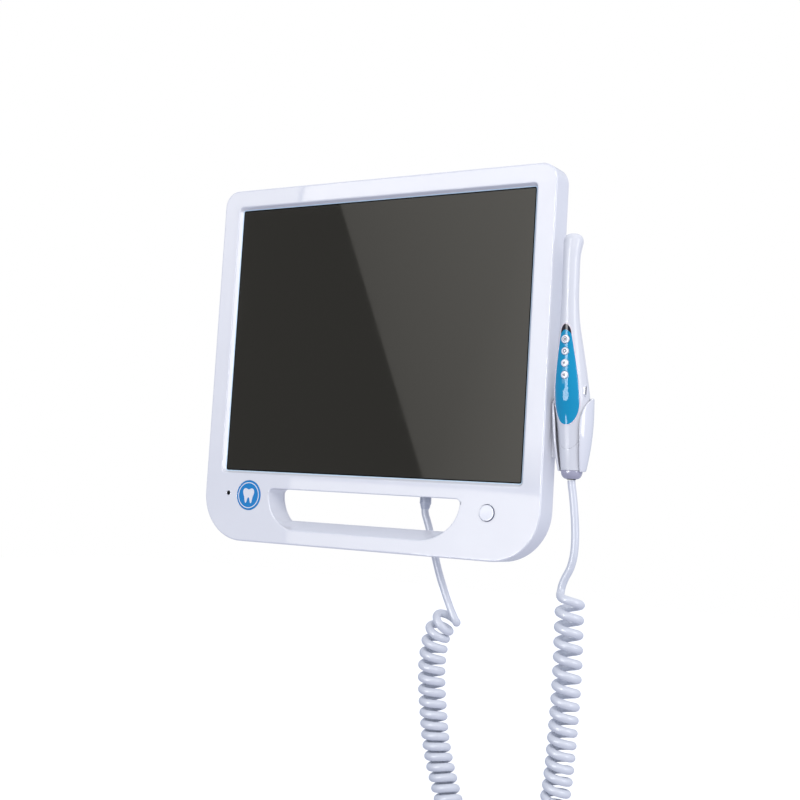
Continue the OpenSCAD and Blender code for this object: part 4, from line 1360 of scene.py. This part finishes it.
# Light from round the object: below, level and above, and what each side does to it
UNDER_LIGHT = (0.54, 0.54, 0.66)
LEVEL_LIGHT = (0.54, 0.585, 0.69)
TOP_LIGHT = (0.78, 0.80, 0.88)
LEFT_LIGHT = (0.92, 0.95, 1.0)
RIGHT_LIGHT = (1.38, 1.37, 1.37)
KEY_POWER = 24.0
FLOOR_HALF, FLOOR_Z = 4.0, -0.52
CARD_AWAY = 1.2
SCREEN_TINT, FRAME_TINT = (1, 0.97, 0.9), (1, 0.96, 0.84)


def emitter(name, colour, strength):
    material = bpy.data.materials.new(name)
    material.use_nodes = True
    tree = material.node_tree
    tree.nodes.clear()
    glow = tree.nodes.new("ShaderNodeEmission")
    glow.inputs["Color"].default_value = (*colour, 1)
    glow.inputs["Strength"].default_value = strength
    out = tree.nodes.new("ShaderNodeOutputMaterial")
    tree.links.new(glow.outputs["Emission"], out.inputs["Surface"])
    return material


def seen_in_front(x, y, z, reach):
    """Where the camera sees the surroundings mirrored in the flat front, through a point of it, in metres."""
    at = Vector((x, y, z)) * MM
    ray = (at - CAMERA_AT).normalized()
    return at + Vector((ray.x, -ray.y, ray.z)) * reach


def glossy_only(name, mesh):
    """A stage piece that shows in reflections and nowhere else."""
    card = bpy.data.objects.new(name, mesh)
    bpy.context.scene.collection.objects.link(card)
    card.visible_camera = False
    card.visible_diffuse = False
    card.visible_shadow = False
    card.visible_transmission = False
    return card


def mirrored_card(name, patches, y, reach, tint):
    """Cards seen only as a reflection in the front at depth y, placed by where their corners show."""
    points = [corner for patch in patches for corner in patch]
    faces = [tuple(range(4 * i, 4 * i + 4)) for i in range(len(patches))]
    mesh = bpy.data.meshes.new(name)
    mesh.from_pydata([seen_in_front(x, y, z, reach) for x, z, _ in points], [], faces)
    glow = mesh.color_attributes.new("glow", "FLOAT_COLOR", "POINT")
    for spot, (_, _, level) in zip(glow.data, points):
        spot.color = (level * tint[0], level * tint[1], level * tint[2], 1)
    material = emitter(name, (1, 1, 1), 1.0)
    tree = material.node_tree
    levels = tree.nodes.new("ShaderNodeAttribute")
    levels.attribute_name = "glow"
    tree.links.new(levels.outputs["Color"], tree.nodes["Emission"].inputs["Color"])
    mesh.materials.append(material)
    return glossy_only(name, mesh)


def soft_light(name, place, aims_at, size, power, colour=(1, 1, 1)):
    data = bpy.data.lights.new(name, "AREA")
    data.shape = "RECTANGLE"
    data.size, data.size_y = size
    data.energy = power
    data.color = colour
    light = bpy.data.objects.new(name, data)
    light.location = place
    light.rotation_euler = (Vector(aims_at) - Vector(place)).to_track_quat("-Z", "Y").to_euler()
    bpy.context.scene.collection.objects.link(light)
    return light


def make_world():
    """Plain white behind the object; the light on it comes mostly from above and the right."""
    world = bpy.data.worlds.new("studio")
    world.use_nodes = True
    tree = world.node_tree
    background = tree.nodes["Background"]
    background.inputs["Strength"].default_value = 1.0
    where = tree.nodes.new("ShaderNodeTexCoord").outputs["Generated"]
    split = tree.nodes.new("ShaderNodeSeparateXYZ")
    tree.links.new(where, split.inputs["Vector"])

    def ramp(axis, stops):
        spread = tree.nodes.new("ShaderNodeMapRange")
        spread.inputs["From Min"].default_value = -1
        tree.links.new(split.outputs[axis], spread.inputs["Value"])
        shares = [((place + 1) / 2, colour) for place, colour in stops]
        return colour_ramp(tree, spread.outputs["Result"], shares)

    def mix(kind, a, b, fac=1.0):
        node = tree.nodes.new("ShaderNodeMix")
        node.data_type = "RGBA"
        node.blend_type = kind
        for out, into in ((a, node.inputs[6]), (b, node.inputs[7])):
            if isinstance(out, tuple):
                into.default_value = (*out, 1)
            else:
                tree.links.new(out, into)
        if isinstance(fac, float):
            node.inputs[0].default_value = fac
        else:
            tree.links.new(fac, node.inputs[0])
        return node.outputs[2]

    height = ramp("Z", [(-1, UNDER_LIGHT), (0, LEVEL_LIGHT), (1, TOP_LIGHT)])
    across = ramp("X", [(-1, LEFT_LIGHT), (0.1, (1, 1, 1)), (1, RIGHT_LIGHT)])
    soft = mix("MULTIPLY", height, across)
    seen = tree.nodes.new("ShaderNodeLightPath").outputs["Is Camera Ray"]
    tree.links.new(mix("MIX", soft, (1.0, 1.0, 1.0), seen), background.inputs["Color"])
    bpy.context.scene.world = world


def tall_card(name, away, strength, outline):
    """A card round the wand, seen only as a highlight; its outline is (degrees from -Y towards +X, z)."""
    corners = []
    for azimuth, z in outline:
        a = math.radians(azimuth)
        corners.append((WAND_X * MM + away * math.sin(a), -away * math.cos(a), z))
    mesh = bpy.data.meshes.new(name)
    mesh.from_pydata(corners, [], [tuple(range(len(corners)))])
    mesh.materials.append(emitter(name, (1, 1, 1), strength))
    return glossy_only(name, mesh)


# What the flat front mirrors: patches by where they show on it, each corner as (x, z, brightness)
SCREEN_DARK = [[(-170, -136, 0.43), (170, -136, 0.43), (170, 136, 0.43), (-170, 136, 0.43)]]
SCREEN_LIGHT = [[(67.1, -136, 1.32), (170, -136, 2.05), (170, 136, 2.05), (-48.4, 136, 1.3)]]
FRAME_LIGHT = [
    [(-230, -230, 1.6), (-88, -230, 1.6), (-88, -138, 1.2), (-230, -138, 1.2)],
    [(-230, -138, 1.4), (-172, -138, 1.4), (-172, 138, 3.4), (-230, 138, 3.4)],
    [(-230, 138, 3.4), (-98, 138, 3.4), (-88, 190, 3.4), (-230, 190, 3.4)],
    [(-92, 138, 5.4), (230, 138, 4.2), (230, 190, 4.2), (-82, 190, 5.4)],
    [(172, -95, 3.3), (230, -95, 3.3), (230, 138, 3.9), (172, 138, 3.9)],
    [(172, -125, 1.2), (230, -125, 1.2), (230, -95, 3.3), (172, -95, 3.3)],
    [(172, -138, 0.0), (230, -138, 0.0), (230, -125, 1.2), (172, -125, 1.2)],
    [(-84, -230, 3.4), (112, -230, 3.7), (112, -142.8, 3.7), (-84, -140.5, 3.4)],
    [(112, -230, 3.9), (260, -230, 3.9), (260, -147.0, 3.9), (112, -142.8, 3.9)],
]


def make_studio():
    make_world()
    scene = bpy.context.scene
    scene.view_settings.view_transform = "Standard"
    floor_mesh = bpy.data.meshes.new("floor")
    corners = [(x * FLOOR_HALF, y * FLOOR_HALF, FLOOR_Z) for x, y in ((-1, -1), (1, -1), (1, 1), (-1, 1))]
    floor_mesh.from_pydata(corners, [], [(0, 1, 2, 3)])
    pale = Nodes("floor_pale", (0.85, 0.85, 0.86), 0.6, Emission_Color=(1, 1, 1, 1), Emission_Strength=0.5)
    floor_mesh.materials.append(pale.material)
    floor = bpy.data.objects.new("floor", floor_mesh)
    floor.visible_diffuse = False
    floor.visible_glossy = False
    scene.collection.objects.link(floor)
    mirrored_card("screen_dark", SCREEN_DARK, SCREEN_Y, 3.3, SCREEN_TINT)
    mirrored_card("screen_light", SCREEN_LIGHT, SCREEN_Y, 3.25, SCREEN_TINT)
    mirrored_card("frame_light", FRAME_LIGHT, FRONT_Y, 3.2, FRAME_TINT)
    outline = [
        (-1, 0.6), (-21, 0.6), (-21, -0.24), (-36, -0.27), (-36, -0.39), (-22, -0.44), (-8, -0.44),
        (-1, -0.4),
    ]
    tall_card("front_card", CARD_AWAY, 12.0, outline)
    tall_card("side_card", CARD_AWAY, 7.0, [(91, -0.3), (91, 0.7), (69, 0.7), (69, -0.3)])
    soft_light("key", (1.4, -1.9, 1.5), (0.05, 0, 0), (1.5, 1.5), KEY_POWER, (1, 0.97, 0.93))


MATERIALS = make_materials()
make_camera()
make_cords()
dress_nodes()
make_bezel()
make_rear_cover()
make_power_button()
make_ir_lens()
make_badge()
make_cover_screws()
rounded_copy("cradle_bracket", "holder_bracket", 0.8)
make_cradle()
make_front_shell()
make_rear_shell()
make_wand_screws()
make_panel()
make_buttons()
make_side_button()
make_tail()
make_head_window()
make_studio()
